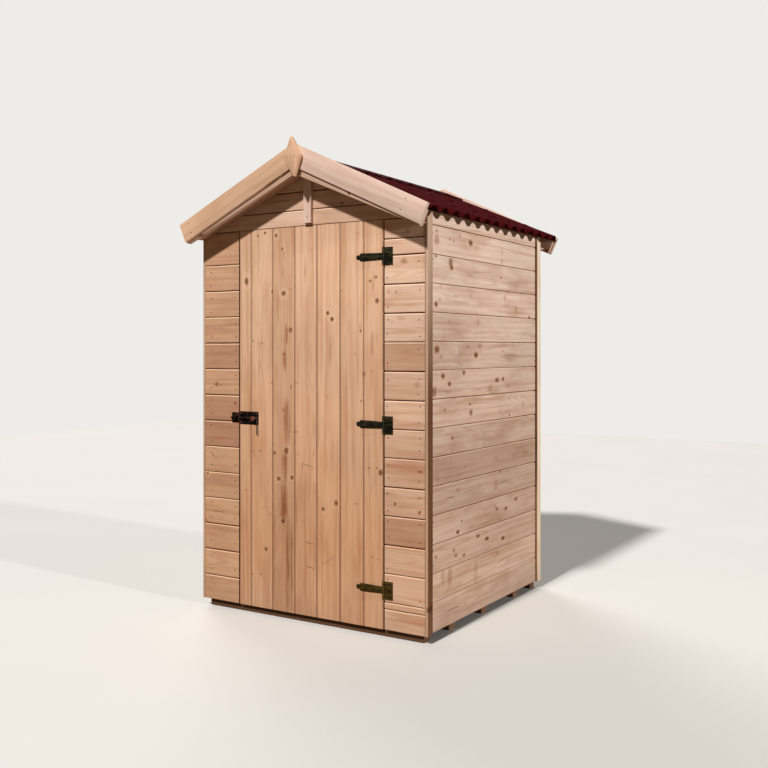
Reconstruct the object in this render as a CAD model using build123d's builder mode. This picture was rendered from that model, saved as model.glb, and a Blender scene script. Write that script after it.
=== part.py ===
"""Small timber shed with a corrugated gable roof, modelled piece by piece.

Millimetres, +Z up. The origin is on the ground at the centre of the footprint.
The door is in the front wall, which faces -Y, and hangs on the +X side.
"""

import os
from math import ceil, cos, radians, sin, tan

from build123d import *

os.makedirs("parts", exist_ok=True)

# Driving dimensions of the building
width = 1200          # over the corner trims
depth = 1150          # over the front and rear cladding
clad_gap = 35         # ground to the bottom edge of the cladding
gable_rise = 339      # doorway head to the top of the bargeboards at the ridge
pitch = 23            # roof slope in degrees
barge_pitch = 25      # slope of the bargeboards in degrees
overhang = 100        # bargeboard face in front of the cladding face
eave_reach = 655      # ridge line to the eave end of the roof, measured level

# Driving dimensions of the timber
clad = 18             # cladding thickness
stud = 36             # framing timber, short side
stud_deep = 48        # framing timber, long side
floor_thick = 18
trim = 12             # corner trim thickness
trim_wide = 42
trim_sink = 9         # trim tops stay this far under the top of the side walls
barge = 18            # bargeboard thickness
barge_wide = 90
verge = 18            # verge board thickness
verge_wide = 68
verge_short = 4       # verge boards stop this far inside the ends of the bargeboards
purlin_tall = 52
purlin_wide = 48
leaf_room = 5         # back of the door to the front of the floor
bearer_shares = (0, 0.2, 0.49, 0.81, 1)   # bearer places from the front one to the rear one

# Driving dimensions of the roofing
wave = 95             # pitch of the corrugation
wave_tall = 28        # overall height of a sheet
sheet = 3             # sheet thickness
first_crest = 46      # face of the front bargeboards to the first crest
sheet_room = 2        # room between the sheets and the bargeboards
sheet_top_gap = 30    # ridge line to the upper end of each sheet, measured level
cap_reach = 120       # ridge line to the edge of the ridge cap, measured level
cap_radius = 50

# Driving dimensions of the doorway, the door and its fittings
opening_left = -384
opening_right = 396
opening_top = 1692    # above the bottom edge of the cladding
latch_gap = 6
hinge_gap = 5
ledge = 20            # ledge thickness
ledge_wide = 120
ledge_inset = 24      # leaf edge to ledge end
ledge_heights = (200, 780)   # two lower ledges, centres above the bottom of the door
ledge_drop = 87       # top of the door to the centre of the top ledge
hinge_heights = (162, 842)   # two lower hinges, centres above the bottom of the door
hinge_drop = 149      # top of the door to the centre of the top hinge
pin_proud = 6         # hinge pin centre in front of the door's face
knuckle_radius = 5
pin_radius = 2.3
knuckle_bore = 2.5
plate_tall = 74
plate_wide = 38
plate_thick = 2.5
strap_root = 30       # strap width at the knuckle
strap_end = 32        # strap width at the shoulders beside the round tip
strap_reach = 136     # pin centre to the far end of the tip
strap_tip = 10        # radius of the round tip
strap_thick = 3
bolt_height = 845     # bolt bar above the bottom of the door
bolt_plate_inset = 9  # edge of the door to the bolt plate
bolt_plate_long = 100
bolt_plate_tall = 58
bolt_plate_thick = 2
bolt_radius = 5
bolt_back = 7         # centre of the bolt bar in front of its plate
bolt_inset = 4        # edge of the door to the end of the bolt bar
bolt_long = 104
guide_insets = (13, 30)   # left edge of the bolt plate to each guide
guide_long = 9
guide_wall = 2.5
bolt_slip = 0.5       # room round the bar in its guides
knob_inset = 86       # left edge of the bolt plate to the middle of the knob
knob_radius = 11
knob_tall = 9
tail_long = 76
tail_radius = 2.5
keeper_inset = 5      # edge of the doorway to the keeper
keeper_long = 31
keeper_tall = 46
keeper_slip = 1.5     # room round the bar in the keeper

# Driving dimensions of the trim on the gable
finial_half_wide = 60
finial_half_tall = 85
finial_place = 8
finial_thick = 18
finial_centre_drop = 61   # top of the bargeboards at the ridge to the centre of the finial
batten_place = 12
batten_wide = 40
batten_thick = 16
batten_lift = 8       # doorway head to the lower end of the batten

# Places worked out from the driving dimensions
rise = tan(radians(pitch))
upright = 1 / cos(radians(pitch))   # a length square to the slope, measured plumb
barge_rise = tan(radians(barge_pitch))
barge_upright = 1 / cos(radians(barge_pitch))
wall_x = width / 2 - trim           # outer face of the side cladding
frame_x = wall_x - clad             # outer face of the side framing
front_y = -depth / 2
frame_y = front_y + clad            # front face of the front framing
floor_top = stud_deep + floor_thick
head = clad_gap + opening_top
roof_top = head + gable_rise
crest_top = roof_top - eave_reach * (barge_rise - rise)   # crests meet the bargeboards at the eave
bearing_top = crest_top - wave_tall * upright
wall_top = bearing_top - purlin_tall * upright
rafter_low = wall_top - stud * upright
barge_y = front_y - overhang
verge_y = barge_y + barge
verge_back_y = verge_y + verge
door_left = opening_left + latch_gap
door_right = opening_right - hinge_gap
door_top = head - hinge_gap
side_top = bearing_top - wall_x * rise
pin_x = (door_right + opening_right) / 2
pin_y = front_y - pin_proud
bolt_z = clad_gap + bolt_height
bolt_y = front_y - bolt_plate_thick - bolt_back
bolt_plate_left = door_left + bolt_plate_inset
hinge_places = [clad_gap + height for height in hinge_heights] + [door_top - hinge_drop]
post_top = wall_top - (frame_x * rise) - stud_deep


def height_at(top, x, slope=rise):
    """Height of a sloping line at distance x from the ridge."""
    return top - abs(x) * slope


def slab(outline, y_near, y_far):
    """A plate with an outline drawn in the front view, between two depths."""
    with BuildPart() as plate:
        with BuildSketch(Plane.XZ.offset(-y_far)):
            Polygon(*outline, align=None)
        extrude(amount=y_far - y_near)
    return plate.part


def block(x_low, x_high, y_low, y_high, z_low, z_high):
    """A square timber between the given faces."""
    with BuildPart() as timber:
        with Locations((x_low, y_low, z_low)):
            Box(x_high - x_low, y_high - y_low, z_high - z_low, align=Align.MIN)
    return timber.part


def save(piece, name):
    """Label a finished piece and write it."""
    piece.part.label = name
    export_step(piece.part, f"parts/{name}.step")


# Floor: five bearers across the building, with the floor boards over them
floor_front = frame_y + leaf_room
bearer_run = -frame_y - stud_deep - floor_front
with BuildPart() as bearers:
    for share in bearer_shares:
        near = floor_front + share * bearer_run
        add(block(-frame_x, frame_x, near, near + stud_deep, 0, stud_deep))
save(bearers, "bearers")

with BuildPart() as floor:
    add(block(-frame_x, frame_x, floor_front, -frame_y, stud_deep, floor_top))
save(floor, "floor_boards")

# Framing: four corner posts, two door posts and a stud in the middle of each full wall
post_back = frame_y + stud_deep
inner_x = frame_x - stud
with BuildPart() as corner_posts:
    add(block(inner_x, frame_x, frame_y, post_back, floor_top, post_top))
    mirror(about=Plane.YZ)
    mirror(about=Plane.XZ)
save(corner_posts, "corner_posts")

left_face = opening_left - stud_deep
right_face = opening_right + stud_deep
with BuildPart() as door_posts:
    for near, far in ((left_face, opening_left), (opening_right, right_face)):
        outline = (
            (near, floor_top),
            (far, floor_top),
            (far, height_at(rafter_low, far)),
            (near, height_at(rafter_low, near)),
        )
        add(slab(outline, frame_y, frame_y + stud))
save(door_posts, "door_posts")

rail_top = floor_top + stud
half_stud = stud_deep / 2
rear_stud_top = height_at(rafter_low, half_stud)
with BuildPart() as wall_studs:
    add(block(inner_x, frame_x, -half_stud, half_stud, rail_top, post_top))
    add(block(-frame_x, -inner_x, -half_stud, half_stud, rail_top, post_top))
    add(block(-half_stud, half_stud, -frame_y - stud, -frame_y, rail_top, rear_stud_top))
save(wall_studs, "wall_studs")

with BuildPart() as bottom_rails:
    add(block(inner_x, frame_x, post_back, -post_back, floor_top, rail_top))
    add(block(-frame_x, -inner_x, post_back, -post_back, floor_top, rail_top))
    add(block(-inner_x, inner_x, -frame_y - stud, -frame_y, floor_top, rail_top))
    add(block(-inner_x, left_face, frame_y, frame_y + stud, floor_top, rail_top))
    add(block(right_face, inner_x, frame_y, frame_y + stud, floor_top, rail_top))
save(bottom_rails, "bottom_rails")

plate_outline = (
    (inner_x, post_top),
    (frame_x, post_top),
    (frame_x, height_at(wall_top, frame_x)),
    (inner_x, height_at(wall_top, inner_x)),
)
with BuildPart() as wall_plates:
    add(slab(plate_outline, frame_y, -frame_y))
    mirror(about=Plane.YZ)
save(wall_plates, "wall_plates")

# Rafters behind each gable, and the rail over the doorway fitted between them
ridge_joint = 0.5
rafter_outline = (
    (ridge_joint, height_at(rafter_low, ridge_joint)),
    (inner_x, height_at(rafter_low, inner_x)),
    (inner_x, height_at(wall_top, inner_x)),
    (ridge_joint, height_at(wall_top, ridge_joint)),
)
with BuildPart() as front_rafters:
    add(slab(rafter_outline, frame_y, frame_y + stud))
    mirror(about=Plane.YZ)
save(front_rafters, "front_rafters")

with BuildPart() as rear_rafters:
    mirror(front_rafters.part, about=Plane.XZ)
save(rear_rafters, "rear_rafters")

under_rafters = (
    (-wall_x, height_at(rafter_low, wall_x)),
    (0, rafter_low),
    (wall_x, height_at(rafter_low, wall_x)),
    (wall_x, floor_top),
    (-wall_x, floor_top),
)
with BuildPart() as door_head:
    add(block(opening_left, opening_right, frame_y, frame_y + stud, head, head + stud_deep))
    add(slab(under_rafters, frame_y, frame_y + stud), mode=Mode.INTERSECT)
save(door_head, "door_head")

# Cladding, the front wall in three pieces round the doorway
head_reach = (wall_top - head) / rise
with BuildPart() as front_left:
    outline = (
        (-wall_x, clad_gap),
        (opening_left, clad_gap),
        (opening_left, head),
        (-head_reach, head),
        (-wall_x, height_at(wall_top, wall_x)),
    )
    add(slab(outline, front_y, frame_y))
save(front_left, "front_wall_left")

with BuildPart() as front_right:
    outline = (
        (opening_right, clad_gap),
        (wall_x, clad_gap),
        (wall_x, height_at(wall_top, wall_x)),
        (head_reach, head),
        (opening_right, head),
    )
    add(slab(outline, front_y, frame_y))
save(front_right, "front_wall_right")

with BuildPart() as front_gable:
    outline = ((-head_reach, head), (head_reach, head), (0, wall_top))
    add(slab(outline, front_y, frame_y))
save(front_gable, "front_gable")

with BuildPart() as right_wall:
    add(block(frame_x, wall_x, frame_y, -frame_y, clad_gap, side_top))
save(right_wall, "right_wall")

with BuildPart() as left_wall:
    mirror(right_wall.part, about=Plane.YZ)
save(left_wall, "left_wall")

with BuildPart() as rear_wall:
    outline = (
        (-wall_x, clad_gap),
        (wall_x, clad_gap),
        (wall_x, height_at(wall_top, wall_x)),
        (0, wall_top),
        (-wall_x, height_at(wall_top, wall_x)),
    )
    add(slab(outline, -frame_y, -front_y))
save(rear_wall, "rear_wall")

# Corner trims on the side walls, covering the ends of the front and rear boards
trim_top = side_top - trim_sink
with BuildPart() as front_right_trim:
    add(block(wall_x, width / 2, front_y, front_y + trim_wide, clad_gap, trim_top))
save(front_right_trim, "front_right_trim")

with BuildPart() as front_left_trim:
    mirror(front_right_trim.part, about=Plane.YZ)
save(front_left_trim, "front_left_trim")

with BuildPart() as rear_right_trim:
    mirror(front_right_trim.part, about=Plane.XZ)
save(rear_right_trim, "rear_right_trim")

with BuildPart() as rear_left_trim:
    mirror(rear_right_trim.part, about=Plane.YZ)
save(rear_left_trim, "rear_left_trim")

# Purlins on the gable walls: one at the eave, one halfway and one beside the ridge
down_slope = Vector(cos(radians(pitch)), 0, -sin(radians(pitch)))
eave_purlin = frame_x * upright - purlin_wide / 2 - purlin_tall * rise
ridge_purlin = sheet_top_gap * upright + purlin_wide / 2 + purlin_tall * rise
with BuildPart() as right_purlins:
    for run in (ridge_purlin, (ridge_purlin + eave_purlin) / 2, eave_purlin):
        foot = Vector(0, verge_back_y, wall_top) + down_slope * run
        with BuildSketch(Plane(foot, x_dir=down_slope, z_dir=(0, 1, 0))):
            Rectangle(purlin_wide, purlin_tall, align=(Align.CENTER, Align.MAX))
        extrude(amount=-2 * verge_back_y)
save(right_purlins, "right_purlins")

with BuildPart() as left_purlins:
    mirror(right_purlins.part, about=Plane.YZ)
save(left_purlins, "left_purlins")

# Corrugated sheets: half waves drawn as arcs, run down the slope
half_wave = wave / 2
swing = (wave_tall - sheet) / 2
wave_start = barge_y + first_crest - 1.5 * half_wave
sheet_edge = -verge_y - sheet_room
half_waves = ceil((sheet_edge - wave_start) / half_wave)
wave_end = wave_start + half_waves * half_wave
with BuildPart() as right_sheet:
    start = Vector(sheet_top_gap, 0, height_at(bearing_top, sheet_top_gap))
    run = (eave_reach - sheet_top_gap) * upright
    with BuildSketch(Plane(start, x_dir=(0, 1, 0), z_dir=down_slope)):
        with BuildLine():
            for count in range(half_waves):
                near = wave_start + count * half_wave
                turn = swing if count % 2 else -swing
                for level in (swing, swing + sheet):
                    ThreePointArc(
                        (near, level),
                        (near + half_wave / 2, level + turn),
                        (near + half_wave, level),
                    )
            for end in (wave_start, wave_end):
                Line((end, swing), (end, swing + sheet))
        make_face()
        Rectangle(2 * sheet_edge, 4 * wave_tall, mode=Mode.INTERSECT)
    extrude(amount=run)
save(right_sheet, "right_roof_sheet")

with BuildPart() as left_sheet:
    mirror(right_sheet.part, about=Plane.YZ)
save(left_sheet, "left_roof_sheet")

# Ridge cap: a rounded top with a flat wing on each slope, lying on the crests
cap_centre = crest_top - cap_radius * upright
turn_x = cap_radius * sin(radians(pitch))
outer = cap_radius + sheet
outer_x = outer * sin(radians(pitch))
cap_top = crest_top + sheet * upright
with BuildPart() as ridge_cap:
    with BuildSketch(Plane.XZ.offset(verge_y)):
        with BuildLine():
            ThreePointArc(
                (-turn_x, height_at(crest_top, turn_x)),
                (0, cap_centre + cap_radius),
                (turn_x, height_at(crest_top, turn_x)),
            )
            Polyline(
                (turn_x, height_at(crest_top, turn_x)),
                (cap_reach, height_at(crest_top, cap_reach)),
                (cap_reach, height_at(cap_top, cap_reach)),
                (outer_x, height_at(cap_top, outer_x)),
            )
            ThreePointArc(
                (outer_x, height_at(cap_top, outer_x)),
                (0, cap_centre + outer),
                (-outer_x, height_at(cap_top, outer_x)),
            )
            Polyline(
                (-outer_x, height_at(cap_top, outer_x)),
                (-cap_reach, height_at(cap_top, cap_reach)),
                (-cap_reach, height_at(crest_top, cap_reach)),
                (-turn_x, height_at(crest_top, turn_x)),
            )
        make_face()
    extrude(amount=-2 * verge_y)
save(ridge_cap, "ridge_cap")

# Bargeboards with square ends, and the verge boards behind them
cut_x = eave_reach - barge_wide * sin(radians(barge_pitch))
barge_low = roof_top - barge_wide * barge_upright
barge_outline = (
    (0, barge_low),
    (cut_x, height_at(barge_low, cut_x, barge_rise)),
    (eave_reach, height_at(roof_top, eave_reach, barge_rise)),
    (0, roof_top),
)
with BuildPart() as front_right_barge:
    add(slab(barge_outline, barge_y, verge_y))
save(front_right_barge, "front_right_bargeboard")

with BuildPart() as front_left_barge:
    mirror(front_right_barge.part, about=Plane.YZ)
save(front_left_barge, "front_left_bargeboard")

with BuildPart() as rear_right_barge:
    mirror(front_right_barge.part, about=Plane.XZ)
save(rear_right_barge, "rear_right_bargeboard")

with BuildPart() as rear_left_barge:
    mirror(rear_right_barge.part, about=Plane.YZ)
save(rear_left_barge, "rear_left_bargeboard")

verge_reach = cut_x - verge_short
verge_end_x = verge_reach + verge_wide * sin(radians(pitch))
verge_low = bearing_top - verge_wide * upright
verge_outline = (
    (0, verge_low),
    (verge_reach, height_at(verge_low, verge_reach)),
    (verge_end_x, height_at(bearing_top, verge_end_x)),
    (0, bearing_top),
)
with BuildPart() as front_right_verge:
    add(slab(verge_outline, verge_y, verge_back_y))
save(front_right_verge, "front_right_verge_board")

with BuildPart() as front_left_verge:
    mirror(front_right_verge.part, about=Plane.YZ)
save(front_left_verge, "front_left_verge_board")

with BuildPart() as rear_right_verge:
    mirror(front_right_verge.part, about=Plane.XZ)
save(rear_right_verge, "rear_right_verge_board")

with BuildPart() as rear_left_verge:
    mirror(rear_right_verge.part, about=Plane.YZ)
save(rear_left_verge, "rear_left_verge_board")

# Diamond over the joint of the front bargeboards, and the batten on the gable
finial_z = roof_top - finial_centre_drop
with BuildPart() as finial:
    outline = (
        (finial_place - finial_half_wide, finial_z),
        (finial_place, finial_z - finial_half_tall),
        (finial_place + finial_half_wide, finial_z),
        (finial_place, finial_z + finial_half_tall),
    )
    add(slab(outline, barge_y - finial_thick, barge_y))
save(finial, "gable_finial")

batten_left = batten_place - batten_wide / 2
batten_right = batten_place + batten_wide / 2
batten_low = head + batten_lift
with BuildPart() as batten:
    outline = (
        (batten_left, batten_low),
        (batten_right, batten_low),
        (batten_right, height_at(wall_top, batten_right)),
        (0, wall_top),
        (batten_left, height_at(wall_top, batten_left)),
    )
    add(slab(outline, front_y - batten_thick, front_y))
save(batten, "gable_batten")

# Door: upright boards on three ledges
with BuildPart() as door_boards:
    add(block(door_left, door_right, front_y, frame_y, clad_gap, door_top))
save(door_boards, "door_boards")

ledge_places = [clad_gap + height for height in ledge_heights] + [door_top - ledge_drop]
with BuildPart() as door_ledges:
    for place in ledge_places:
        ledge_left = door_left + ledge_inset
        ledge_right = door_right - ledge_inset
        ledge_low = place - ledge_wide / 2
        ledge_high = ledge_low + ledge_wide
        add(block(ledge_left, ledge_right, frame_y, frame_y + ledge, ledge_low, ledge_high))
save(door_ledges, "door_ledges")

# Strap hinges: a plate with two knuckles and the pin on the wall, a strap on the door
knuckle_play = 0.5
plate_right = pin_x + knuckle_radius + plate_wide
strap_half = strap_root / 2
with BuildPart() as hinge_plates:
    for middle in hinge_places:
        low = middle - plate_tall / 2
        high = middle + plate_tall / 2
        slot = strap_half + knuckle_play
        face = front_y - plate_thick
        clear_x = pin_x + knuckle_radius + knuckle_play
        add(block(pin_x, plate_right, face, front_y, low, middle - slot))
        add(block(pin_x, plate_right, face, front_y, middle + slot, high))
        add(block(clear_x, plate_right, face, front_y, low, high))
        with Locations((pin_x, pin_y, low), (pin_x, pin_y, middle + slot)):
            Cylinder(knuckle_radius, plate_tall / 2 - slot, align=(Align.CENTER, Align.CENTER, Align.MIN))
        with Locations((pin_x, pin_y, middle)):
            Cylinder(pin_radius, plate_tall)
save(hinge_plates, "hinge_plates")

with BuildPart() as hinge_straps:
    for middle in hinge_places:
        tip_x = pin_x - strap_reach + strap_tip
        shoulder_x = tip_x + strap_tip / 2
        outline = (
            (pin_x, middle - strap_half),
            (pin_x, middle + strap_half),
            (shoulder_x, middle + strap_end / 2),
            (shoulder_x, middle - strap_end / 2),
        )
        add(slab(outline, front_y - strap_thick, front_y))
        with BuildSketch(Plane.XZ.offset(-front_y)):
            with Locations((tip_x, middle)):
                Circle(strap_tip)
        extrude(amount=strap_thick)
        with Locations((pin_x, pin_y, middle)):
            Cylinder(knuckle_radius, strap_root)
            Cylinder(knuckle_bore, strap_root, mode=Mode.SUBTRACT)
save(hinge_straps, "hinge_straps")

# Bolt plate with two square guides on the door, and the keeper on the wall
guide_half = bolt_radius + bolt_slip
with BuildPart() as bolt_plate:
    plate_low = bolt_z - bolt_plate_tall / 2
    plate_high = bolt_z + bolt_plate_tall / 2
    plate_end = bolt_plate_left + bolt_plate_long
    plate_face = front_y - bolt_plate_thick
    add(block(bolt_plate_left, plate_end, plate_face, front_y, plate_low, plate_high))
    guide_front = bolt_y - guide_half - guide_wall
    for inset in guide_insets:
        near = bolt_plate_left + inset
        low = bolt_z - guide_half - guide_wall
        high = bolt_z + guide_half + guide_wall
        add(block(near, near + guide_long, guide_front, plate_face, low, high))
    with Locations((bolt_plate_left, bolt_y, bolt_z)):
        bore = 2 * bolt_plate_long
        Cylinder(guide_half, bore, rotation=(0, 90, 0), mode=Mode.SUBTRACT)
save(bolt_plate, "bolt_plate")

keeper_half = bolt_radius + keeper_slip
with BuildPart() as keeper:
    keeper_right = opening_left - keeper_inset
    keeper_left = keeper_right - keeper_long
    plate_face = front_y - bolt_plate_thick
    low = bolt_z - keeper_tall / 2
    add(block(keeper_left, keeper_right, plate_face, front_y, low, low + keeper_tall))
    hoop_front = bolt_y - keeper_half - guide_wall
    low = bolt_z - keeper_half - guide_wall
    high = bolt_z + keeper_half + guide_wall
    hoop_left = keeper_right - 2 * guide_long
    add(block(hoop_left, keeper_right, hoop_front, plate_face, low, high))
    with Locations((keeper_left, bolt_y, bolt_z)):
        Cylinder(keeper_half, bore, rotation=(0, 90, 0), mode=Mode.SUBTRACT)
save(keeper, "bolt_keeper")

# Bolt bar with a round knob and a thin tail that hangs from its end
bolt_left = door_left + bolt_inset
tail_x = bolt_left + bolt_long - tail_radius
with BuildPart() as bolt:
    with BuildSketch(Plane((bolt_left, bolt_y, bolt_z), z_dir=(1, 0, 0))):
        Circle(bolt_radius)
    extrude(amount=bolt_long)
    with BuildSketch(Plane((bolt_plate_left + knob_inset, bolt_y, bolt_z), z_dir=(0, -1, 0))):
        Circle(knob_radius)
    extrude(amount=bolt_radius + knob_tall)
    with Locations((tail_x, bolt_y, bolt_z)):
        Cylinder(tail_radius, tail_long, align=(Align.CENTER, Align.CENTER, Align.MAX))
save(bolt, "door_bolt")
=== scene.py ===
from math import atan2, cos, pi, radians, sin, tan

import bpy
import numpy as np
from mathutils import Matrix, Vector


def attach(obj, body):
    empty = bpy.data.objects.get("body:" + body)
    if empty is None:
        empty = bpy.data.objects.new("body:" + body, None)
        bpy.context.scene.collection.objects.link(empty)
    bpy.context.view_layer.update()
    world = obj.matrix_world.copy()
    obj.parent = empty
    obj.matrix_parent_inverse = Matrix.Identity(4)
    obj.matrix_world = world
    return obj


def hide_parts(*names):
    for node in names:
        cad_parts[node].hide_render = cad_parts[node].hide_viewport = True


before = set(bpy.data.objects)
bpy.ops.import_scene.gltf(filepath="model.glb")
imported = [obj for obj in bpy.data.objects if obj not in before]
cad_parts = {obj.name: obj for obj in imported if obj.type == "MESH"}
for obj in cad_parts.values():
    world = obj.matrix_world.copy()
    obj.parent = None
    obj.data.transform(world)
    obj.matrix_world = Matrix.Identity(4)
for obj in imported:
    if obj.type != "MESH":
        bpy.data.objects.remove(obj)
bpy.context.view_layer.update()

scene = bpy.context.scene
rng = np.random.default_rng(7)

# Places and sizes in metres, as in the solid model
wall_x = 0.588
frame_x = 0.570
half_width = 0.600
front_y = -0.575
frame_y = -0.557
clad = 0.018
base_z = 0.035
head_z = 1.727
barge_y = -0.675
verge_y = -0.657
verge_back_y = -0.639
roof_top = 2.066
pitch = radians(23)
barge_pitch = radians(25)
eave_reach = 0.655
barge_wide = 0.090
verge_wide = 0.068
purlin_tall = 0.052
trim_wide = 0.042
trim_sink = 0.009
timber = 0.048
floor_thick = 0.018
wave = 0.095
wave_tall = 0.028
sheet_thick = 0.003
first_crest = barge_y + 0.046
rise = tan(pitch)
upright = 1 / cos(pitch)
crest_top = roof_top - eave_reach * (tan(barge_pitch) - rise)
bearing_top = crest_top - wave_tall * upright
wall_top = bearing_top - purlin_tall * upright
side_top = bearing_top - wall_x * rise
opening_left, opening_right = -0.384, 0.396
door_left, door_right, door_top = -0.378, 0.391, 1.722
ledge_heights = (base_z + 0.200, base_z + 0.780, door_top - 0.087)
hinge_heights = (base_z + 0.162, base_z + 0.842, door_top - 0.149)
pin_x, pin_y = 0.3935, front_y - 0.006
plate_thick, strap_thick, bolt_plate_thick = 0.0025, 0.003, 0.002
bolt_y, bolt_z = -0.584, 0.880

# Directions, and the side of the grid cells on the boards that carry knots
level_x, level_y, plumb, forward = (1, 0, 0), (0, 1, 0), (0, 0, 1), (0, -1, 0)
cell = 0.012


# Mesh making

def loft(points, caps="fan"):
    """A closed tube from points[station, ring, xyz].

    Neighbouring stations are joined by quads round the ring.  The two ends are closed by one
    polygon each ("fan"), or by quads between ring point j and ring point R-1-j ("strip"),
    or left to meet themselves where the path is a loop ("loop").
    """
    stations, ring = points.shape[:2]
    index = np.arange(stations * ring).reshape(stations, ring)
    a, b = (index, np.roll(index, -1, axis=0)) if caps == "loop" else (index[:-1], index[1:])
    quads = np.stack([a, np.roll(a, -1, axis=1), np.roll(b, -1, axis=1), b], axis=-1).reshape(-1, 4)
    faces = [quads]
    if caps == "fan":
        faces += [index[:1, ::-1], index[-1:]]
    elif caps == "strip":
        near, far = index[0], index[-1]
        j = np.arange(ring // 2 - 1)
        opposite = ring - 1 - j
        faces.append(np.stack([near[j], near[opposite], near[opposite - 1], near[j + 1]], axis=-1))
        faces.append(np.stack([far[j], far[j + 1], far[opposite - 1], far[opposite]], axis=-1))
    verts = points.reshape(-1, 3)
    # the sign of the volume tells whether the faces point inwards
    p, q, r, t = (verts[quads[:, k]] - verts.mean(axis=0) for k in range(4))
    volume = np.einsum("ij,ij->", p, np.cross(q, r)) + np.einsum("ij,ij->", p, np.cross(r, t))
    if volume < 0:
        faces = [face[:, ::-1] for face in faces]
    return verts, faces


def store(mesh, name, values):
    """One number or one vector for each vertex, as a named attribute of the mesh."""
    kind, field = ("FLOAT_VECTOR", "vector") if values.ndim > 1 else ("FLOAT", "value")
    layer = mesh.attributes.new(name, kind, "POINT")
    layer.data.foreach_set(field, values.astype(np.float32).ravel())


def make(name, parts, material, body, nodes=(), crease=32, marks=()):
    """One mesh object from several closed parts, each (verts, faces, grain, tone).

    marks is (axis, rows): knots, stains and cracks on a wall whose level axis is 0 or 1.
    """
    verts, faces, grains, tones, layers = [], [], [], [], []
    base = 0
    for v, f, grain, tone in parts:
        verts.append(v)
        for group in f:
            faces += (group + base).tolist()
        grains.append(grain)
        tones.append(np.broadcast_to(tone, len(v)))
        if marks:
            layers.append(knot_layers(v, *marks))
        base += len(v)
    mesh = bpy.data.meshes.new(name)
    mesh.from_pydata(np.concatenate(verts).tolist(), [], faces)
    store(mesh, "grain", np.concatenate(grains))
    store(mesh, "board", np.concatenate(tones))
    if marks:
        for letter, layer in zip("abcd", np.concatenate(layers, axis=1)):
            store(mesh, f"knot_{letter}", layer)
    mesh.polygons.foreach_set("use_smooth", np.ones(len(mesh.polygons), dtype=bool))
    mesh.set_sharp_from_angle(angle=radians(crease))
    mesh.materials.append(material)
    mesh.update()
    piece = bpy.data.objects.new(name, mesh)
    scene.collection.objects.link(piece)
    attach(piece, body)
    if nodes:
        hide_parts(*nodes)


def knot_layers(verts, axis, rows):
    """Four layers of vectors that place knots and cracks exactly on one coarsely meshed board.

    A row is (level, height, half length, half width, turn, strength) in metres and degrees,
    with a strength over 1 for a crack and under 0 for a streak with no dark middle.
    A vertex near it holds (offset along / half length, offset across / half width, strength),
    so the shader finds the mark where the first two have a length under one.  The strength
    falls to nothing one mesh cell further out, and marks that lie close together go to
    different layers.  The strongest marks choose first, and the streaks last.
    """
    nowhere, step = 9.0, 0.013
    layers = np.tile([nowhere, nowhere, 0.0], (4, len(verts), 1))
    taken = np.zeros((4, len(verts)), dtype=bool)
    level, height = verts[:, axis], verts[:, 2]
    for at, up, long, wide, turn, strength in sorted(rows, key=lambda row: (row[5] < 0, -abs(row[5]))):
        if not (level.min() < at < level.max() and height.min() < up < height.max()):
            continue
        c, s = cos(radians(turn)), sin(radians(turn))
        along = (level - at) * c + (height - up) * s
        across = (height - up) * c - (level - at) * s
        size = 1.25 if strength > 1 else 1.9
        reach = 1.1 if strength < 0 else size
        near = (np.abs(along) < reach * long + step) & (np.abs(across) < size * wide + step)
        around = (np.abs(along) < reach * long + 2 * step) & (np.abs(across) < size * wide + 2 * step)
        free = [k for k in range(4) if not (taken[k] & around).any()]
        if free:
            vectors = np.stack([along / long, across / wide, strength * near], axis=-1)
            layers[free[0], around] = vectors[around]
            taken[free[0]] |= around
    return layers


def knots(rows, standing=False, widen=1.0):
    """Marks in metres from rows (level, height, radius, stretch, strength) in millimetres.

    A stretch over 1 is along the grain and one under 1 across it.  A streak has a strength
    under 0, and is as wide as its radius and stretch times as long.
    """
    marks = []
    for level, height, radius, stretch, strength in rows:
        turn = 90 if standing else 0
        if strength < 0:
            long, wide = radius * stretch, radius
        elif stretch >= 1:
            long, wide = radius * stretch * widen, radius / stretch ** 0.3
        else:
            long, wide, turn = radius / stretch ** 0.5, radius * stretch ** 0.5 * widen, 90 - turn
        marks.append((level / 1000, height / 1000, long / 1000, wide / 1000, turn, strength))
    return marks


def cracks(rows):
    """Thin dark marks from rows (level, height, level, height, strength) in millimetres."""
    marks = []
    for a, z, b, w, strength in rows:
        long = np.hypot(b - a, w - z) / 2000 + 0.003
        turn = np.degrees(atan2(w - z, b - a))
        marks.append(((a + b) / 2000, (z + w) / 2000, long, 0.0015, turn, 1 + strength))
    return marks


def arc(centre, radius, start, end, count):
    """Points of a circular arc in a plane, from angle start to angle end in degrees."""
    t = np.radians(np.linspace(start, end, count))
    return np.stack([centre[0] + radius * np.cos(t), centre[1] + radius * np.sin(t)], axis=-1)


def rounded(low, high, near, far, radius=0.003, count=4):
    """Points of a rectangle with round corners: a quarter circle at each, joined by lines."""
    corners = ((low + radius, near + radius, 180), (high - radius, near + radius, 270),
               (high - radius, far - radius, 0), (low + radius, far - radius, 90))
    return np.concatenate([arc((u, v), radius, start, start + 90, count) for u, v, start in corners])


def eased(low, high, thick, radius):
    """Ring (v, d) of a board from low to high and 0 to thick, with its four edges rounded."""
    return rounded(low, high, 0.0, thick, radius, 3)


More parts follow.
